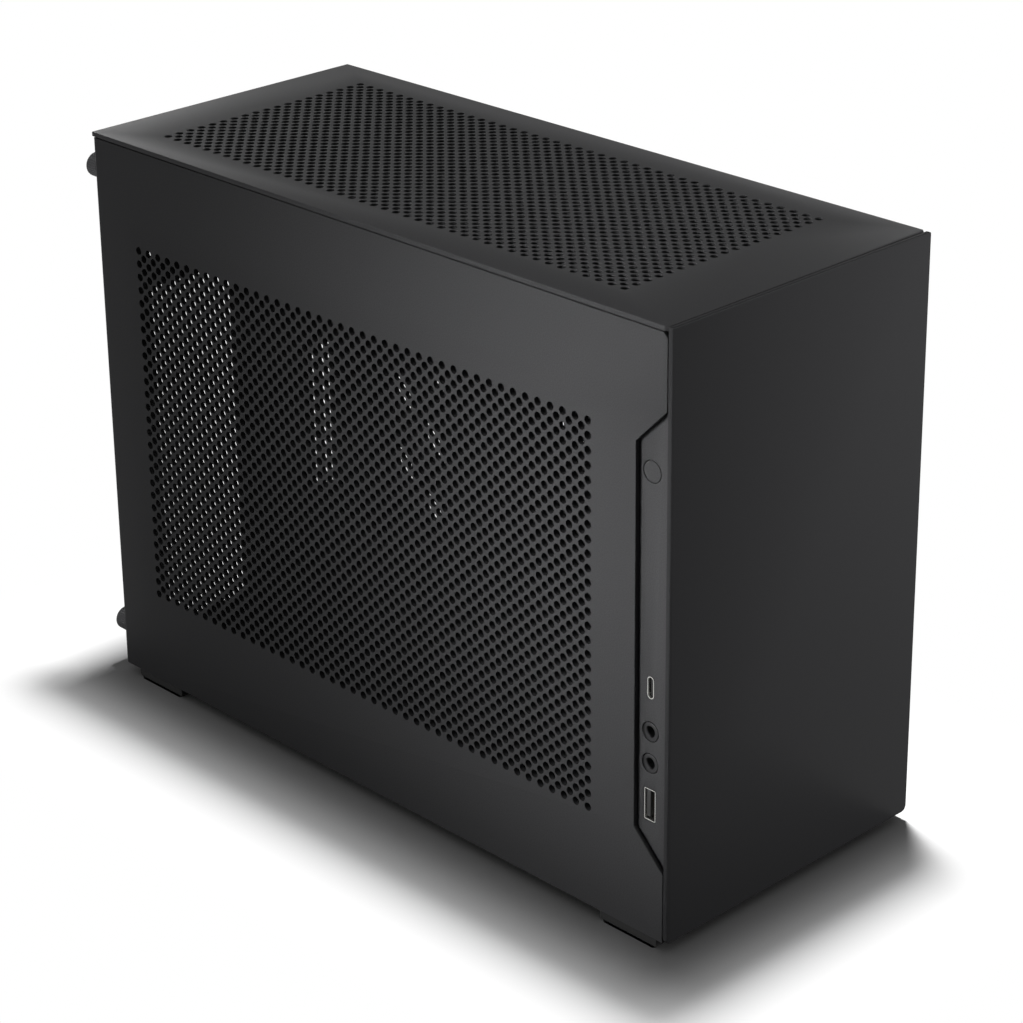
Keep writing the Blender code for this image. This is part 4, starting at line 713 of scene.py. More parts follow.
class FrontPlate(SubAssembly):
    """The plain front plate, with rounded lower corners."""

    lower_corner: float = 2.5 * MM
    upper_corner: float = 0.75 * MM
    edge: float = 0.3 * MM

    def build(self) -> None:
        """Builds the plate."""
        plate = block("front_plate", (-CASE.half_width, deep(0.0), high(0.0)),
                      (CASE.half_width, deep(CASE.plate), high(CASE.height)))
        middle = high(CASE.height / 2)
        with shaping(plate):
            round_edges(self.lower_corner, 6, lambda at, way: abs(way.y) > ALONG and at.z < middle)
            round_edges(self.upper_corner, 4, lambda at, way: abs(way.y) > ALONG and at.z > middle)
        soften(plate, self.edge)
        self.dress(plate, ANODISED, "front_cover", "front_panel")


@dataclass(frozen=True)
class HoleField:
    """A staggered field of punched holes.

    Attributes:
        axis: Axis that the punches cut along.
        first: Centre of the first hole.
        last: Centre of the last hole.
        counts: Holes in the two directions.
        steps: The numbers of the two axes that these directions follow.
        radius: Radius of a hole.
        sides: Sides of a hole.
        reach: Length of a punch.
    """

    axis: Axis
    first: tuple[float, float, float]
    last: tuple[float, float, float]
    counts: tuple[int, int]
    steps: tuple[int, int]
    radius: float = 1.7 * MM
    sides: int = 16
    reach: float = 12.0 * MM

    def punches(self) -> list[Thing]:
        """Two grids of round punches, the second in the middles of the first one's cells.

        Returns:
            The punches, as two meshes.
        """
        pitch = [(self.last[i] - self.first[i]) / (count - 1) for i, count in zip(self.steps, self.counts)]
        made = []
        for shift in (0, 1):
            place = list(self.first)
            for i, step in zip(self.steps, pitch):
                place[i] += shift * step / 2
            bpy.ops.object.select_all(action="DESELECT")
            bpy.ops.mesh.primitive_cylinder_add(vertices=self.sides, radius=self.radius, depth=self.reach,
                                                location=place, rotation=self.axis.value)
            punch = settle(bpy.context.object)
            for i, step, count in zip(self.steps, pitch, self.counts):
                offset = [0.0, 0.0, 0.0]
                offset[i] = step
                repeat(punch, offset, count - shift)
            made.append(punch)
        return made


class TopCover(SubAssembly):
    """The perforated top plate."""

    corner: float = 1.5 * MM
    edge: float = 0.3 * MM
    field_x: float = 52.4 * MM
    field_front: float = 39.4 * MM
    field_back: float = 297.7 * MM
    holes: tuple[int, int] = (19, 42)

    def build(self) -> None:
        """Builds the plate and punches its holes."""
        front = deep(CASE.plate + CASE.seam)
        plate = block("top_plate", (-CASE.half_width, front, high(CASE.height - CASE.plate)),
                      (CASE.half_width, deep(CASE.depth), high(CASE.height)))
        with shaping(plate):
            round_edges(self.corner, 1, lambda at, way: abs(way.z) > ALONG and at.y < 0.0)
        soften(plate, self.edge)
        level = high(CASE.height - CASE.plate / 2)
        field = HoleField(Axis.Z, (-self.field_x, deep(self.field_front), level),
                          (self.field_x, deep(self.field_back), level), self.holes, (0, 1))
        for punch in field.punches():
            apply_boolean(plate, punch, "DIFFERENCE", "MANIFOLD")
            bpy.data.objects.remove(punch)
        self.dress(plate, POWDER, "top_cover", "top_panel")


class SideCovers(SubAssembly):
    """The two perforated side covers, folded at the rear, the left one with a notch in its front edge."""

    lip: float = 13.0 * MM
    corner: float = 2.0 * MM
    edge: float = 0.3 * MM
    notch_depth: float = 15.0 * MM
    notch_low: float = 28.6 * MM
    notch_high: float = 212.8 * MM
    hook_spots: tuple[float, ...] = (60.0 * MM, 165.0 * MM, 270.0 * MM)
    hook_rows: tuple[float, ...] = (9.0 * MM, 232.7 * MM)
    hook_leg: float = 3.0 * MM
    hook_finger: float = 7.0 * MM
    hook_height: float = 6.0 * MM
    hook_root: float = 0.5 * MM
    hook_edge: float = 0.15 * MM
    bolt_hole: float = 1.9 * MM
    bolt_punch: float = 9.0 * MM
    field_front: float = 40.5 * MM
    field_back: float = 298.7 * MM
    field_low: float = 42.3 * MM
    field_high: float = 198.6 * MM
    holes: tuple[int, int] = (42, 28)
    punch_length: float = 150.0 * MM

    def blank(self) -> Thing:
        """The folded sheet of the left cover, before its holes.

        Returns:
            The sheet.
        """
        outer = -CASE.half_width
        inner = outer + CASE.plate
        back = deep(CASE.depth)
        face = back - CASE.plate
        front = deep(CASE.frame_front)
        sheet = block("side_sheet", (outer, front, high(0.0)), (inner, back, high(CASE.cover_top)))
        middle = high(CASE.height / 2)
        with shaping(sheet):
            score(Axis.Y, face)
            pick(Kind.FACES, lambda at, way: way.x > ALONG and at.y > face)
            extrude(x=self.lip - CASE.plate)
            round_edges(CASE.bend + CASE.plate, 6,
                        lambda at, way: abs(way.z) > ALONG and at.x < outer + MM and at.y > back - MM)
            round_edges(CASE.bend, 4, lambda at, way: abs(way.z) > ALONG and abs(at.x - inner) < NEAR
                        and abs(at.y - face) < NEAR)
            round_edges(self.corner, 1,
                        lambda at, way: abs(way.x) > ALONG and at.y < front + MM and at.z > middle)
        for height in CASE.screw_heights():
            centre = (-CASE.screw_x, back, high(height))
            cut(sheet, round_punch(Axis.Y, centre, self.bolt_hole, self.bolt_punch, 32))
        return sheet

    def notch(self) -> Thing:
        """The punch for the notch, whose rear corners run at 45 degrees.

        Returns:
            The punch.
        """
        ramp = self.notch_depth + CASE.plate
        punch = block("notch", (-CASE.half_width - 2 * MM, deep(-MM), high(self.notch_low - CASE.plate)),
                      (-CASE.half_width + 4 * MM, deep(ramp), high(self.notch_high + CASE.plate)))
        with shaping(punch):
            round_edges(ramp, 1, lambda at, way: abs(way.x) > ALONG and at.y > deep(ramp / 2))
        return punch

    def hook(self) -> Thing:
        """One hook of the left cover, a bent finger that slides behind the chassis sheet.

        Returns:
            The hook.
        """
        reach = CASE.frame_inner_x - CASE.fit
        half = self.hook_height / 2
        hook = block("hook", (-CASE.half_width + CASE.plate - self.hook_root, 0.0, -half),
                     (-reach + CASE.steel, self.hook_leg, half))
        with shaping(hook):
            score(Axis.X, -reach)
            pick(Kind.FACES, lambda at, way: way.y < -ALONG and at.x > -reach)
            extrude(y=-self.hook_finger)
            round_edges(MM, 4, lambda at, way: abs(way.z) > ALONG and at.x > -reach + MM
                        and at.y > self.hook_leg - MM)
        soften(hook, self.hook_edge)
        return hook

    def build(self) -> None:
        """Builds both covers and their hooks."""
        left = self.blank()
        right = copy(left, "right_cover_sheet", mirror=True)
        cut(left, self.notch())
        for sheet in (left, right):
            soften(sheet, self.edge)
        field = HoleField(Axis.X, (0.0, deep(self.field_front), high(self.field_low)),
                          (0.0, deep(self.field_back), high(self.field_high)), self.holes, (1, 2),
                          reach=self.punch_length)
        for punch in field.punches():
            for sheet in (left, right):
                apply_boolean(sheet, punch, "DIFFERENCE", "MANIFOLD")
            bpy.data.objects.remove(punch)
        left.name = "left_cover_sheet"
        self.dress(left, POWDER, "left_cover", "left_side_panel")
        self.dress(right, POWDER, "right_cover", "right_side_panel")
        model = self.hook()
        for column, spot in enumerate(self.hook_spots, 1):
            for row, level in zip(self.hook_rows, ("lower", "upper")):
                move = (0.0, deep(spot), high(row))
                for side in ("left", "right"):
                    hook = copy(model, f"{side}_hook_{level}_{column}", move, mirror=side == "right")
                    self.dress(hook, POWDER, f"{side}_cover")
        bpy.data.objects.remove(model)


class Thumbscrews(SubAssembly):
    """The four knurled screws behind the side covers' lips."""

    head_radius: float = 5.25 * MM
    head_length: float = 8.0 * MM
    shank_radius: float = 1.6 * MM
    shank_length: float = 9.0 * MM
    knurls: int = 30
    knurl_rows: int = 8
    knurl_height: float = 0.3 * MM
    collar: float = 1.0 * MM
    rim: float = 0.7 * MM
    plain_shank: float = 2.6 * MM
    shank_root: float = 0.5 * MM
    thread_pitch: float = 0.8 * MM
    thread_core: float = 0.8
    shank_tip: float = 0.6
    recess_depth: float = 2.2 * MM
    recess_reach: float = 2.4 * MM
    recess_half: float = 0.55 * MM
    recess_taper: float = 0.6

    def head(self) -> Thing:
        """The knurled head, whose seat is at Y = 0 and whose end is towards +Y.

        Returns:
            The head.
        """
        radius = self.head_radius - self.knurl_height
        start = self.collar
        end = self.head_length - self.rim
        step = (end - start) / self.knurl_rows
        profile = [(radius - 0.6 * MM, 0.0), (radius - 0.2 * MM, 0.2 * MM),
                   (radius - 0.2 * MM, start - 0.2 * MM), (radius, start)]
        profile += [(radius, start + step * (k + 1)) for k in range(self.knurl_rows)]
        profile += [(radius - 0.5 * MM, self.head_length - 0.15 * MM),
                    (radius - 0.8 * MM, self.head_length)]
        head = turned("thumbscrew_head", Axis.Z, (0.0, 0.0, 0.0), profile, self.knurls)
        with shaping(head):
            for k in range(self.knurl_rows):
                low = start + step * k
                pick(Kind.FACES, lambda at, way: abs(way.z) < 0.3 and low < at.z < low + step)
                bpy.ops.mesh.poke(offset=self.knurl_height)
        head.rotation_euler = Axis.Y.value
        return settle(head)

    def shank(self) -> Thing:
        """The threaded shank, towards -Y.

        Returns:
            The shank.
        """
        place = -self.plain_shank
        profile = [(self.shank_radius, self.shank_root), (self.shank_radius, place)]
        while place > -self.shank_length + 2 * self.thread_pitch:
            profile += [(self.shank_radius * self.thread_core, place - self.thread_pitch * 0.4),
                        (self.shank_radius, place - self.thread_pitch)]
            place -= self.thread_pitch
        profile += [(self.shank_radius * self.shank_tip, -self.shank_length)]
        return turned("thumbscrew_shank", Axis.Y, (0.0, 0.0, 0.0), profile, 20)

    def build(self) -> None:
        """Builds one thumbscrew and puts a copy on each of the four bodies."""
        head = self.head()
        cut(head, cross_punch(Axis.Y, self.head_length + MM, self.head_length - self.recess_depth,
                              self.recess_reach, self.recess_half, self.recess_taper))
        screw = join("thumbscrew_model", head, self.shank())
        for side, side_name in ((-1, "left"), (1, "right")):
            for height, level in zip(CASE.screw_heights(), ("lower", "upper")):
                place = (side * CASE.screw_x, deep(CASE.depth) + CASE.fit, high(height))
                piece = copy(screw, f"knurled_screw_{side_name}_{level}", place)
                node = f"thumbscrew_{side_name}_{level}"
                self.dress(piece, SCREW, f"{node}_body", node, degrees=25.0)
        bpy.data.objects.remove(screw)


# Chassis


class FrontFrame(SubAssembly):
    """The folded front of the chassis, whose left flange holds the button and the sockets."""

    flange: float = 22.0 * MM
    low: float = 2.5 * MM
    edge: float = 0.15 * MM
    stud_hole: float = 2.6 * MM
    round_sides: int = 40
    # Height and radius of the button's and the audio sockets' holes
    round_holes: tuple[Pair, ...] = (
        (PORTS.button, 4.4 * MM),
        (PORTS.upper_jack, 4.1 * MM),
        (PORTS.lower_jack, 4.1 * MM),
    )
    # Height, half size front to back, half height and corner radius of the data sockets' holes
    long_holes: tuple[tuple[float, ...], ...] = (
        (PORTS.type_c, 1.95 * MM, 4.8 * MM, 1.94 * MM),
        (PORTS.type_a, 3.15 * MM, 6.85 * MM, 0.5 * MM),
    )

    def build(self) -> None:
        """Builds the channel and punches its holes."""
        front = deep(CASE.frame_front)
        face = front + CASE.steel
        outer = CASE.frame_x
        inner = CASE.frame_inner_x
        frame = block("front_channel", (-outer, front, high(self.low)), (outer, face, high(CASE.frame_top)))
        with shaping(frame):
            for x in (-inner, inner):
                score(Axis.X, x)
            pick(Kind.FACES, lambda at, way: way.y > ALONG and abs(at.x) > inner)
            extrude(y=self.flange - CASE.steel)
            round_edges(CASE.bend + CASE.steel, 5, lambda at, way: abs(way.z) > ALONG
                        and abs(at.x) > outer - NEAR and at.y < front + NEAR)
            round_edges(CASE.bend, 3, lambda at, way: abs(way.z) > ALONG
                        and abs(abs(at.x) - inner) < NEAR and abs(at.y - face) < NEAR)
        line = deep(PORTS.line)
        punches = [round_punch(Axis.X, (-outer, line, high(height)), radius, sides=self.round_sides)
                   for height, radius in self.round_holes]
        punches += [slot_punch("slot_punch",
                               (-outer - PUNCH_REACH, line - half_thin, high(height) - half_tall),
                               (-outer + PUNCH_REACH, line + half_thin, high(height) + half_tall),
                               Axis.X, radius)
                    for height, half_thin, half_tall, radius in self.long_holes]
        studs = BallStuds.sizes
        punches += [round_punch(Axis.Y, (side * studs.x, front, high(height)), self.stud_hole)
                    for side in (-1, 1) for height in (studs.front_end, CASE.frame_top - studs.front_end)]
        cut(frame, *punches)
        soften(frame, self.edge, degrees=50.0)
        self.dress(frame, FRAME, "chassis", "front_frame")


class RearPanel(SubAssembly):
    """The folded back of the chassis, with the bushes that the thumbscrews go into."""

    flange: float = 14.0 * MM
    low: float = 2.5 * MM
    edge: float = 0.15 * MM
    bolt_hole: float = 2.2 * MM
    # Left, low, right and top edge and corner radius of the openings for the mainboard's sockets, the card
    # slots and the mains inlet
    openings: tuple[tuple[float, ...], ...] = (
        (-48.1 * MM, 11.725 * MM, -3.65 * MM, 170.475 * MM, 1.0 * MM),
        (4.4 * MM, 26.2 * MM, 64.5 * MM, 158.8 * MM, 1.0 * MM),
        (14.2 * MM, 194.65 * MM, 41.8 * MM, 215.05 * MM, 2.0 * MM),
    )
    # The same five sizes of the first vent
    first_vent: tuple[float, ...] = (-54.0 * MM, 183.0 * MM, -51.0 * MM, 229.0 * MM, 1.49 * MM)
    vent_pitch: float = 6.6 * MM
    vents: int = 8
    bush_rings = rings((1.9, 1.0), (2.6, 1.0), (2.6, -4.0), (1.9, -4.0), (1.9, 1.0))

    def opening(self, left: float, low: float, right: float, top: float, corner: float) -> Thing:
        """The punch for an opening, from its four edges and the radius of its corners."""
        face, back = deep(CASE.frame_back) - CASE.steel, deep(CASE.frame_back)
        return slot_punch("opening", (left, face - 2 * MM, high(low)), (right, back + 2 * MM, high(top)),
                          Axis.Y, corner)

    def build(self) -> None:
        """Builds the panel, its cut-outs and its bushes."""
        back = deep(CASE.frame_back)
        face = back - CASE.steel
        outer = CASE.frame_x
        inner = CASE.frame_inner_x
        panel = block("rear_sheet", (-outer, face, high(self.low)), (outer, back, high(CASE.frame_top)))
        with shaping(panel):
            for x in (-inner, inner):
                score(Axis.X, x)
            pick(Kind.FACES, lambda at, way: way.y < -ALONG and abs(at.x) > inner)
            extrude(y=CASE.steel - self.flange)
            round_edges(CASE.bend + CASE.steel, 5, lambda at, way: abs(way.z) > ALONG
                        and abs(at.x) > outer - NEAR and at.y > back - NEAR)
        vents = self.opening(*self.first_vent)
        repeat(vents, (self.vent_pitch, 0.0, 0.0), self.vents)
        bolts = [(side * CASE.screw_x, high(height)) for side in (-1, 1) for height in CASE.screw_heights()]
        inlet = [(MainsInlet.x + side * MainsInlet.screw_x, high(MainsInlet.height)) for side in (-1, 1)]
        cut(panel, *(self.opening(*edges) for edges in self.openings), vents,
            *(round_punch(Axis.Y, (x, back, z), self.bolt_hole) for x, z in bolts),
            *(round_punch(Axis.Y, (x, back, z), MainsInlet.screw_hole) for x, z in inlet))
        soften(panel, self.edge, degrees=50.0)
        self.dress(panel, PAINTED, "chassis", "rear_panel")
        bush = turned("bush_model", Axis.Y, (0.0, face, 0.0), self.bush_rings, 24, tube=True)
        for number, (x, z) in enumerate(bolts, 1):
            self.dress(copy(bush, f"threaded_bush_{number}", (x, 0.0, z)), NICKEL, "chassis")
        bpy.data.objects.remove(bush)


# Button and sockets


@dataclass(frozen=True)
class SocketSizes:
    """Sizes of a data socket.

    Attributes:
        name: Start of its pieces' names.
        node: Start of its CAD nodes' names.
        height: Its height above the covers' lower edge.
        half_thin: Half the shell's size front to back.
        half_tall: Half the shell's height.
        corner: Radius of the shell's corners.
        length: How far the shell reaches behind the flange's face.
        tongue: Front and rear face of the tongue, from the ports' line.
        tongue_half: Half the tongue's height.
        tongue_end: How far the tongue reaches behind the flange's face.
        tongue_edge: Rounding of the tongue's edges.
    """

    name: str
    node: str
    height: float
    half_thin: float
    half_tall: float
    corner: float
    length: float
    tongue: Pair
    tongue_half: float
    tongue_end: float
    tongue_edge: float


class NotchPorts(SubAssembly):
    """The power button and the sockets in the notch, on one line up the chassis flange."""

    face: float = -CASE.frame_x
    press: float = 0.8 * MM
    # A cap with a rolled rim, a collar that stops it inside the flange, and a stem
    button_rings = rings((3.75, 0.0), (3.95, 0.03), (4.06, 0.12), (4.1, 0.3), (4.1, 1.5), (5.2, 1.5),
                         (5.2, 2.3), (1.5, 2.3), (1.5, 6.8))
    # A nose with a rolled rim, whose bore widens at its mouth
    nose_rings = rings((2.1, 0.35), (2.35, 0.05), (3.5, 0.0), (3.75, 0.1), (3.8, 0.3), (3.8, 2.0),
                       (1.8, 2.0), (1.8, 0.9), (2.1, 0.35))
    jack_reach: Pair = (1.5 * MM, 13.5 * MM)
    jack_half_thin: float = 2.85 * MM
    jack_half_tall: float = 3.2 * MM
    jack_corner: float = 0.4 * MM
    bore_rings = rings((1.8, 0.0), (1.8, 11.5))
    spring_reach: Pair = (5.0 * MM, 9.0 * MM)
    spring_place: float = 1.35 * MM
    spring_half_thin: float = 0.1 * MM
    spring_half_tall: float = 0.5 * MM
    spring_bend: float = 0.35 * MM
    shell_wall: float = 0.35 * MM
    shell_floor: float = 0.8 * MM
    type_a = SocketSizes("rectangular_socket", "type_a", PORTS.type_a,
                         half_thin=2.85 * MM, half_tall=6.55 * MM, corner=0.6 * MM, length=14.0 * MM,
                         tongue=(0.3 * MM, 2.2 * MM), tongue_half=5.5 * MM, tongue_end=13.0 * MM,
                         tongue_edge=0.2 * MM)
    type_c = SocketSizes("round_ended_socket", "type_c", PORTS.type_c,
                         half_thin=1.65 * MM, half_tall=4.5 * MM, corner=1.64 * MM, length=7.5 * MM,
                         tongue=(-0.4 * MM, 0.4 * MM), tongue_half=3.3 * MM, tongue_end=6.5 * MM,
                         tongue_edge=0.15 * MM)
    contacts: int = 4
    contact_pitch: float = 2.4 * MM
    contact_reach: Pair = (4.5 * MM, 11.0 * MM)
    contact_depth: Pair = (0.12 * MM, 0.36 * MM)
    contact_half: float = 0.6 * MM

    def span(self, height: float, along: Pair, across: Pair, half_tall: float) -> tuple[Point, Point]:
        """The lowest and the highest corner of a box at a port.

        Args:
            height: Height of its middle above the covers' lower edge.
            along: Its start and end, behind the flange's face.
            across: Its front and rear face, from the ports' line.
            half_tall: Half its height.

        Returns:
            The two corners.
        """
        y, z = deep(PORTS.line), high(height)
        return ((self.face + along[0], y + across[0], z - half_tall),
                (self.face + along[1], y + across[1], z + half_tall))

    def button(self) -> None:
        """Builds the flush round power button."""
        place = (self.face, deep(PORTS.line), high(PORTS.button))
        button = turned("round_power_button", Axis.X, place, self.button_rings, 48)
        self.dress(button, BUTTON, "button", "power_button")

    def spring(self) -> None:
        """Gives the button's spring a mesh of its own."""
        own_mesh(self.frame["nodes"]["button_spring"])

    def jack(self, name: str, node: str, height: float) -> None:
        """Builds an audio socket: a bright-edged nose, a dark bore and the contact springs in it.

        Args:
            name: Name of the socket's pieces.
            node: The CAD node that it stands for.
            height: Its height above the covers' lower edge.
        """
        place = (self.face, deep(PORTS.line), high(height))
        nose = turned(f"{name}_nose", Axis.X, place, self.nose_rings, 40, tube=True)
        across = (-self.jack_half_thin, self.jack_half_thin)
        body = slot_punch(f"{name}_body", *self.span(height, self.jack_reach, across, self.jack_half_tall),
                          Axis.X, self.jack_corner, 2)
        cut(body, turned("bore", Axis.X, place, self.bore_rings))
        self.dress(nose, SCREW, "chassis")
        self.dress(body, PLASTIC, "chassis", node)
        for way, end in ((-1, "front"), (1, "rear")):
            middle = way * self.spring_place
            across = (middle - self.spring_half_thin, middle + self.spring_half_thin)
            spring = block(f"{name}_contact_{end}",
                           *self.span(height, self.spring_reach, across, self.spring_half_tall))
            with shaping(spring):
                pick(Kind.FACES, lambda at, normal: normal.x < -ALONG)
                bpy.ops.transform.translate(value=(0.0, way * self.spring_bend, 0.0))
            self.dress(spring, NICKEL, "chassis")

    def socket(self, sizes: SocketSizes) -> None:
        """Builds a data socket: a drawn shell with an open mouth, and its tongue.

        Args:
            sizes: Its sizes.
        """
        thin = sizes.half_thin
        shell = slot_punch(f"{sizes.name}_shell",
                           *self.span(sizes.height, (0.0, sizes.length), (-thin, thin), sizes.half_tall),
                           Axis.X, sizes.corner, 6)
        with shaping(shell):
            pick(Kind.FACES, lambda at, way: way.x < -ALONG)
            bpy.ops.mesh.inset(thickness=self.shell_wall)
            extrude(x=sizes.length - self.shell_floor)
        soften(shell, 0.1 * MM)
        self.dress(shell, NICKEL, "chassis", f"{sizes.node}_socket")
        along = (self.shell_floor, sizes.tongue_end)
        tongue = block(f"{sizes.name}_tongue",
                       *self.span(sizes.height, along, sizes.tongue, sizes.tongue_half))
        soften(tongue, sizes.tongue_edge)
        self.dress(tongue, PLASTIC, "chassis", f"{sizes.node}_tongue")

    def gold_contacts(self) -> None:
        """Lays the contacts on the rectangular socket's tongue."""
        for k in range(self.contacts):
            height = self.type_a.height + (k - (self.contacts - 1) / 2) * self.contact_pitch
            contact = block(f"{self.type_a.name}_contact_{k + 1}",
                            *self.span(height, self.contact_reach, self.contact_depth, self.contact_half))
            soften(contact, 0.08 * MM)
            self.dress(contact, GOLD, "chassis")

    def build(self) -> None:
        """Builds the button and the sockets."""
        self.button()
        self.spring()
        self.jack("upper_jack", "audio_jack_upper", PORTS.upper_jack)
        self.jack("lower_jack", "audio_jack_lower", PORTS.lower_jack)
        self.socket(self.type_a)
        self.gold_contacts()
        self.socket(self.type_c)


# Rear fittings


class CardSlotCovers(SubAssembly):
    """The vented blanks of the three card slots, one modelled and then copied."""

    first: float = 15.0 * MM
    pitch: float = 20.32 * MM
    width: float = 18.4 * MM
    sheet: float = 0.9 * MM
    front: float = 309.3 * MM
    top: float = 161.2 * MM
    bottom: float = 31.0 * MM
    taper: float = 4.2 * MM
    tab: float = 10.8 * MM
    blanks: int = 3
    # Left, low, right and top edge and corner radius of the first vent
    first_vent: tuple[float, ...] = (-5.8 * MM, 58.0 * MM, -3.4 * MM, 126.0 * MM, 1.19 * MM)
    vent_pitch: float = 4.6 * MM
    vents: int = 3
    screw_place: float = 316.1 * MM
    screw_hole: float = 1.7 * MM

    def build(self) -> None:
        """Builds the three blanks."""
        half = self.width / 2
        cover = block("slot_cover_model", (-half, deep(self.front), high(self.bottom)),
                      (half, deep(self.front + self.sheet), high(self.top)))
        with shaping(cover):
            score(Axis.Z, high(self.top - self.sheet))
            pick(Kind.FACES, lambda at, way: way.y > ALONG and at.z > high(self.top - self.sheet))
            extrude(y=self.tab - self.sheet)
            round_edges(CASE.bend + self.sheet, 4, lambda at, way: abs(way.x) > ALONG
                        and at.y < deep(self.front) + NEAR and at.z > high(self.top) - NEAR)
            round_edges(self.taper, 1,
                        lambda at, way: abs(way.y) > ALONG and at.z < high(self.bottom) + NEAR)
        left, low, right, top, corner = self.first_vent
        vents = slot_punch("vents", (left, deep(self.front) - MM, high(low)),
                           (right, deep(self.front + self.sheet) + MM, high(top)), Axis.Y, corner)
        repeat(vents, (self.vent_pitch, 0.0, 0.0), self.vents)
        screw = (0.0, deep(self.screw_place), high(self.top))
        cut(cover, vents, round_punch(Axis.Z, screw, self.screw_hole, 3 * MM))
        soften(cover, 0.12 * MM, degrees=50.0)
        for k in range(self.blanks):
            piece = copy(cover, f"card_slot_blank_{k + 1}", (self.first + k * self.pitch, 0.0, 0.0))
            self.dress(piece, PAINTED, "chassis", f"slot_cover_{k + 1}")
        bpy.data.objects.remove(cover)


class MainsInlet(SubAssembly):
    """The three-pin mains inlet in the back."""

    x: float = 28.0 * MM
    height: float = 204.85 * MM
    screw_x: float = 20.0 * MM
    screw_hole: float = 1.7 * MM
    # Half width, half height, front end and back end of the flange, the body, the cavity and a pin
    flange: tuple[float, ...] = (25.0 * MM, 11.5 * MM, 324.0 * MM, 327.0 * MM)
    body: tuple[float, ...] = (13.5 * MM, 9.9 * MM, 303.0 * MM, 325.5 * MM)
    cavity: tuple[float, ...] = (12.0 * MM, 8.4 * MM, 309.0 * MM, 329.0 * MM)
    pin: tuple[float, ...] = (1.0 * MM, 2.0 * MM, 308.0 * MM, 324.0 * MM)
    flange_corner: float = 5.0 * MM
    # How far each pin is across from and above the inlet's middle
    pins: tuple[Pair, ...] = ((-7.0 * MM, -2.0 * MM), (7.0 * MM, -2.0 * MM), (0.0, 2.0 * MM))

    def room(self, sizes: Sequence[float], across: float = 0.0, up: float = 0.0) -> tuple[Point, Point]:
        """The lowest and the highest corner of a part of the inlet.

        Args:
            sizes: Its half width, half height, front end and back end.
            across: How far it lies across from the inlet's middle.
            up: How far it lies above it.

        Returns:
            The two corners.
        """
        half_wide, half_tall, front, back = sizes
        x, z = self.x + across, high(self.height) + up
        return (x - half_wide, deep(front), z - half_tall), (x + half_wide, deep(back), z + half_tall)

    def build(self) -> None:
        """Builds the moulded body and its pins."""
        z = high(self.height)
        flange = slot_punch("mains_inlet_body", *self.room(self.flange), Axis.Y, self.flange_corner, 6)
        soften(flange, 0.4 * MM)
        body = slot_punch("body", *self.room(self.body), Axis.Y, 2 * MM, 4)
        apply_boolean(flange, body, "UNION")
        bpy.data.objects.remove(body)
        cavity = block("cavity", *self.room(self.cavity))
        with shaping(cavity):
            round_edges(4 * MM, 2, lambda at, way: abs(way.y) > ALONG and at.z > z)
            round_edges(MM, 3, lambda at, way: abs(way.y) > ALONG and at.z < z)
        cut(flange, cavity)
        for side in (-1, 1):
            centre = (self.x + side * self.screw_x, deep(self.flange[-1]), z)
            cut(flange, round_punch(Axis.Y, centre, self.screw_hole, 6 * MM))
        self.dress(flange, PLASTIC, "chassis", "ac_inlet")
        for number, (across, up) in enumerate(self.pins, 1):
            pin = block(f"mains_inlet_pin_{number}", *self.room(self.pin, across, up))
            with shaping(pin):
                pick(Kind.FACES, lambda at, way: way.y > ALONG)
                bpy.ops.mesh.bevel(offset=0.6 * MM, segments=3, affect="EDGES")
            self.dress(pin, NICKEL, "chassis")


class PanHeadScrews(SubAssembly):
    """The nineteen small screws of the chassis, each where its CAD node is."""

    head_radius: float = 2.8 * MM
    head_height: float = 1.7 * MM
    # Share of the head's radius, and place, of the rings of its domed end
    dome: tuple[Pair, ...] = ((0.45, 0.0), (0.72, 0.12 * MM), (0.9, 0.45 * MM), (1.0, 1.0 * MM))
    shank_radius: float = 1.3 * MM
    tip_length: float = 0.5 * MM
    tip: float = 0.6

    def model(self, length: float) -> Thing:
        """A pan-head screw with a cross recess, its head at the bottom and its shank up.

        Args:
            length: Whole length of the screw.

        Returns:
            The screw.
        """
        profile = [(self.head_radius * share, place) for share, place in self.dome]
        profile += [(self.head_radius, self.head_height), (self.shank_radius, self.head_height),
                    (self.shank_radius, length - self.tip_length), (self.shank_radius * self.tip, length)]
        screw = turned("pan_head_model", Axis.Z, (0.0, 0.0, 0.0), profile, 28)
        cut(screw, cross_punch(Axis.Z, -0.5 * MM, 1.0 * MM, 1.5 * MM, 0.35 * MM, 0.55))
        return screw

    def build(self) -> None:
        """Puts a screw where each CAD screw is, with its head at the same end."""
        models: dict[float, Thing] = {}
        for name in sorted(self.frame["nodes"]):
            if "_screw" not in name or name.startswith("thumbscrew"):
                continue
            low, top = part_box(name)
            size = top - low
            axis = max(range(3), key=lambda i: size[i])
            middle = (low + top) / 2
            points = [v.co for v in self.frame["nodes"][name].data.vertices]
            wide = max(points, key=lambda p: (p - middle).length - abs(p[axis] - middle[axis]))
            length = round(size[axis], 5)
            if length not in models:
                models[length] = self.model(length)
            way = 1.0 if wide[axis] < middle[axis] else -1.0
            screw = copy(models[length], name + "_pan_head")
            direction = Vector((0.0, 0.0, 0.0))
            direction[axis] = way
            screw.rotation_mode = "QUATERNION"
            screw.rotation_quaternion = direction.to_track_quat("Z", "Y")
            screw.location = middle - direction * length / 2
            settle(screw)
            screw.rotation_mode = "XYZ"
            self.dress(screw, SCREW, "chassis", name)
        for model in models.values():
            bpy.data.objects.remove(model)


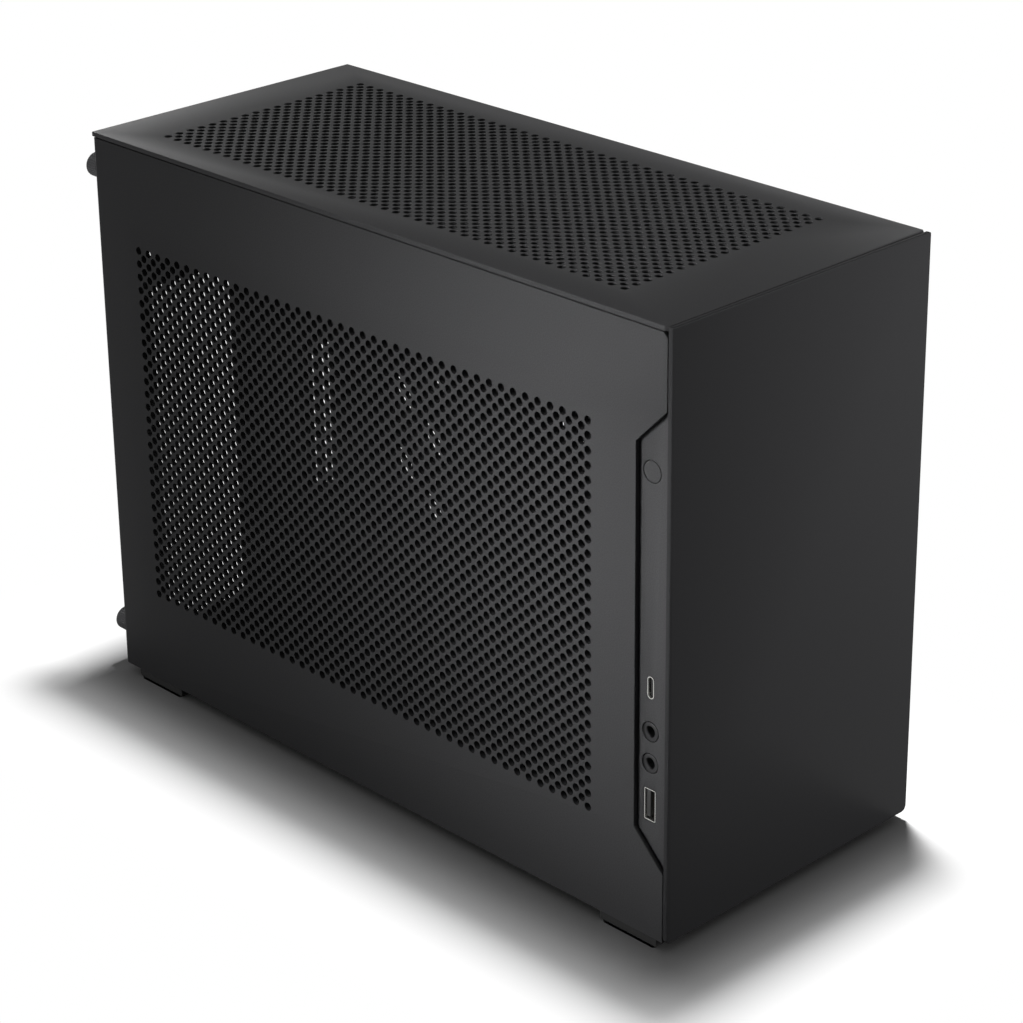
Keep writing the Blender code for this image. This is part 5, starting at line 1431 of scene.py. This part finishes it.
class Feet(SubAssembly):
    """The four moulded feet."""

    length: float = 29.0 * MM
    width: float = 14.5 * MM
    outer: float = 69.5 * MM
    rounding: float = 2.0 * MM
    lap: float = 0.7 * MM
    step: float = 1.0 * MM
    screw_x: float = 61.1 * MM
    recess: float = 3.4 * MM
    recess_depth: float = 2.6 * MM
    starts: tuple[tuple[float, str], ...] = ((5.6 * MM, "front"), (287.4 * MM, "rear"))

    def build(self) -> None:
        """Builds the feet of the right side and mirrors them to the left."""
        for start, end in self.starts:
            y = deep(start)
            foot = block("foot", (self.outer - self.width, y, 0.0),
                         (self.outer, y + self.length, high(self.lap)))
            with shaping(foot):
                score(Axis.X, CASE.frame_x)
                pick(Kind.FACES, lambda at, way: way.z > ALONG and at.x > CASE.frame_x)
                bpy.ops.transform.translate(value=(0.0, 0.0, -self.step))
                round_edges(self.rounding, 5, lambda at, way: at.z < NEAR and abs(way.z) < 0.1)
            cut(foot, round_punch(Axis.Z, (self.screw_x, y + self.length / 2, 0.0), self.recess,
                                  self.recess_depth, 28))
            for side in ("left", "right"):
                piece = copy(foot, f"rubber_foot_{end}_{side}", mirror=side == "left")
                self.dress(piece, RUBBER, "chassis", f"foot_{end}_{side}")
            bpy.data.objects.remove(foot)


class PlainNodes(SubAssembly):
    """The CAD nodes that stay as they are and only get their materials."""

    trades = (POWDER, ANODISED, PAINTED, PLASTIC, RUBBER, SCREW, NICKEL, BOARD)

    def build(self) -> None:
        """Gives each CAD node's slots the scene's own material for the same record slot."""
        by_slot = {trade.slot: trade.finish for trade in self.trades}
        for node in self.frame["nodes"].values():
            for place in node.material_slots:
                if place.material:
                    slot = place.material.name.split(".")[0]
                    place.material = self.finishes.get(by_slot[slot])


# Surroundings


WHITE = (1.0, 1.0, 1.0, 1.0)


def straight_rays(rays: bpy.types.Node) -> bpy.types.NodeSocket:
    """One for camera, glossy and transmission rays, by which a surface is looked at, and zero for others."""
    tree = rays.id_data
    seen = add_node(tree, "ShaderNodeMath", {0: rays.outputs["Is Camera Ray"],
                                             1: rays.outputs["Is Glossy Ray"]}, operation="MAXIMUM")
    both = add_node(tree, "ShaderNodeMath", {0: seen.outputs[0], 1: rays.outputs["Is Transmission Ray"]},
                    operation="MAXIMUM")
    return both.outputs[0]


@dataclass(frozen=True)
class Lamp:
    """A soft rectangular lamp.

    Attributes:
        name: Its name.
        place: Where it hangs.
        target: The point that it faces.
        size: Its width and height.
        power: Its power in watts.
        spread: Angle of its beam in degrees.
        floor_only: True if it lights the floor alone, and False if it lights all but the floor.
    """

    name: str
    place: tuple[float, float, float]
    target: tuple[float, float, float]
    size: Pair
    power: float
    spread: float = 180.0
    floor_only: bool = False

    def hang(self, floor: Thing) -> None:
        """Adds the lamp and links its light to the floor, or to all but the floor."""
        bpy.ops.object.light_add(type="AREA", location=self.place)
        lamp = bpy.context.object
        lamp.name = self.name
        lamp.data.shape = "RECTANGLE"
        lamp.data.size, lamp.data.size_y = self.size
        lamp.data.energy = self.power
        lamp.data.spread = math.radians(self.spread)
        ahead = Vector(self.target) - Vector(self.place)
        lamp.rotation_euler = ahead.to_track_quat("-Z", "Y").to_euler()
        lit = bpy.data.collections.new(f"{self.name}_lit")
        lamp.light_linking.receiver_collection = lit
        lit.objects.link(floor)
        lit.collection_objects[0].light_linking.link_state = "INCLUDE" if self.floor_only else "EXCLUDE"


class Surroundings:
    """The floor, the light, the background and the camera."""

    lens: float = 105.73
    sensor: float = 36.0
    shift: float = -0.12
    camera_place: tuple[float, float, float] = (-0.77061, -0.8134, 0.61223)
    forward: tuple[float, float, float] = (0.64402, 0.66674, -0.3751)
    up: tuple[float, float, float] = (0.26838, 0.26224, 0.92693)
    world_strength: float = 0.08
    floor_size: float = 8.0
    # The paper keeps the lamps' shadow round the case's footprint and turns white this far from it
    footprint: tuple[float, float, float] = (70.0 * MM, 167.0 * MM, 1.0)
    shadow_zone: float = 95.0 * MM
    # Narrow beams give the faces in view their tones, and two fills light the sides away from the camera
    lamps: tuple[Lamp, ...] = (
        Lamp("key", (0.6, -0.8, 0.34), (0.07, -0.17, 0.25), (0.4, 0.3), 1.35, 60.0),
        Lamp("left_high", (-0.8, 0.05, 0.4), (-0.07, -0.16, 0.19), (0.2, 0.2), 0.31, 30.0),
        Lamp("left_low", (-0.8, -0.1, 0.25), (-0.07, -0.16, 0.12), (0.2, 0.2), 0.06, 30.0),
        Lamp("left_rear", (-0.7, 0.45, 0.3), (-0.07, 0.05, 0.1), (0.3, 0.3), 0.22, 60.0),
        Lamp("back_top", (0.3, 1.0, 0.45), (0.0, 0.05, 0.245), (0.35, 0.25), 0.3, 40.0),
        Lamp("right_fill", (1.2, 0.35, 0.13), (0.0, 0.0, 0.12), (0.8, 0.2), 4.0),
        Lamp("rear_fill", (0.3, 1.3, 0.13), (0.0, 0.0, 0.12), (0.7, 0.2), 4.0),
        Lamp("floor_light", (0.18, 0.05, 1.6), (0.0, 0.0, 0.0), (0.16, 0.16), 32.0, floor_only=True),
    )

    def camera(self) -> None:
        """Adds the camera at the photograph's viewing angle."""
        bpy.ops.object.camera_add()
        camera = bpy.context.object
        camera.data.lens = self.lens
        camera.data.sensor_width = self.sensor
        camera.data.shift_y = self.shift
        camera.data.clip_start = 0.01
        ahead = Vector(self.forward).normalized()
        up = Vector(self.up).normalized()
        right = ahead.cross(up).normalized()
        up = right.cross(ahead)
        turn = Matrix((right, up, -ahead)).transposed().to_4x4()
        camera.matrix_world = Matrix.Translation(self.camera_place) @ turn
        bpy.context.scene.camera = camera

    def world(self) -> None:
        """Makes a world that looks white and lights softly."""
        world = bpy.data.worlds.new("studio")
        bpy.context.scene.world = world
        world.use_nodes = True
        tree = world.node_tree
        tree.nodes.clear()
        shown = straight_rays(add_node(tree, "ShaderNodeLightPath"))
        soft = add_node(tree, "ShaderNodeBackground", {"Color": WHITE, "Strength": self.world_strength})
        white = add_node(tree, "ShaderNodeBackground", {"Color": WHITE, "Strength": 1.0})
        mix = add_node(tree, "ShaderNodeMixShader", {0: shown, 1: soft.outputs[0], 2: white.outputs[0]})
        add_node(tree, "ShaderNodeOutputWorld", {"Surface": mix.outputs[0]})

    def floor(self) -> Thing:
        """Adds the pale floor, which keeps the shadow near the case and fades to white further out.

        Returns:
            The floor.
        """
        bpy.ops.object.select_all(action="DESELECT")
        bpy.ops.mesh.primitive_plane_add(size=self.floor_size)
        floor = bpy.context.object
        floor.name = "floor"
        material = bpy.data.materials.new("pale_paper")
        material.use_nodes = True
        tree = material.node_tree
        tree.nodes.clear()
        paper = add_node(tree, "ShaderNodeBsdfDiffuse", {"Color": linear("#f7f7f7")})
        rays = add_node(tree, "ShaderNodeLightPath")
        place = add_node(tree, "ShaderNodeTexCoord").outputs["Object"]
        past = add_node(tree, "ShaderNodeVectorMath", {0: place}, operation="ABSOLUTE")
        past = add_node(tree, "ShaderNodeVectorMath", {0: past.outputs[0], 1: self.footprint},
                        operation="SUBTRACT")
        past = add_node(tree, "ShaderNodeVectorMath", {0: past.outputs[0], 1: (0.0, 0.0, 0.0)},
                        operation="MAXIMUM")
        past = add_node(tree, "ShaderNodeVectorMath", {0: past.outputs[0]}, operation="LENGTH")
        far = add_node(tree, "ShaderNodeMapRange", {"Value": past.outputs["Value"],
                                                    "From Max": self.shadow_zone},
                       interpolation_type="SMOOTHSTEP")
        share = add_node(tree, "ShaderNodeMath", {0: far.outputs[0], 1: straight_rays(rays)},
                         operation="MULTIPLY")
        white = add_node(tree, "ShaderNodeEmission", {"Color": WHITE, "Strength": 1.0})
        mix = add_node(tree, "ShaderNodeMixShader", {0: share.outputs[0], 1: paper.outputs[0],
                                                     2: white.outputs[0]})
        # For bounce light the paper turns dark grey, as painted shade: it throws little light up onto the
        # case's lower faces
        card = add_node(tree, "ShaderNodeBsdfDiffuse", {"Color": linear("#2a2a2a")})
        whole = add_node(tree, "ShaderNodeMixShader", {0: rays.outputs["Is Diffuse Ray"], 1: mix.outputs[0],
                                                       2: card.outputs[0]})
        add_node(tree, "ShaderNodeOutputMaterial", {"Surface": whole.outputs[0]})
        floor.data.materials.append(material)
        return floor

    def build(self) -> None:
        """Builds the surroundings."""
        self.camera()
        self.world()
        floor = self.floor()
        for lamp in self.lamps:
            lamp.hang(floor)
        bpy.context.scene.view_settings.view_transform = "Standard"


def main() -> None:
    """Builds every sub-assembly in order."""
    logging.basicConfig(level=logging.INFO, format="%(message)s")
    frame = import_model()
    finishes = Finishes()
    PlainNodes(finishes, frame).build()
    for part in (FrontPlate, TopCover, SideCovers, BallStuds, Thumbscrews, FrontFrame, RearPanel,
                 NotchPorts, CardSlotCovers, MainsInlet, PanHeadScrews, Feet):
        part(finishes, frame).build()
    Surroundings().build()


if __name__ == "__main__":
    main()
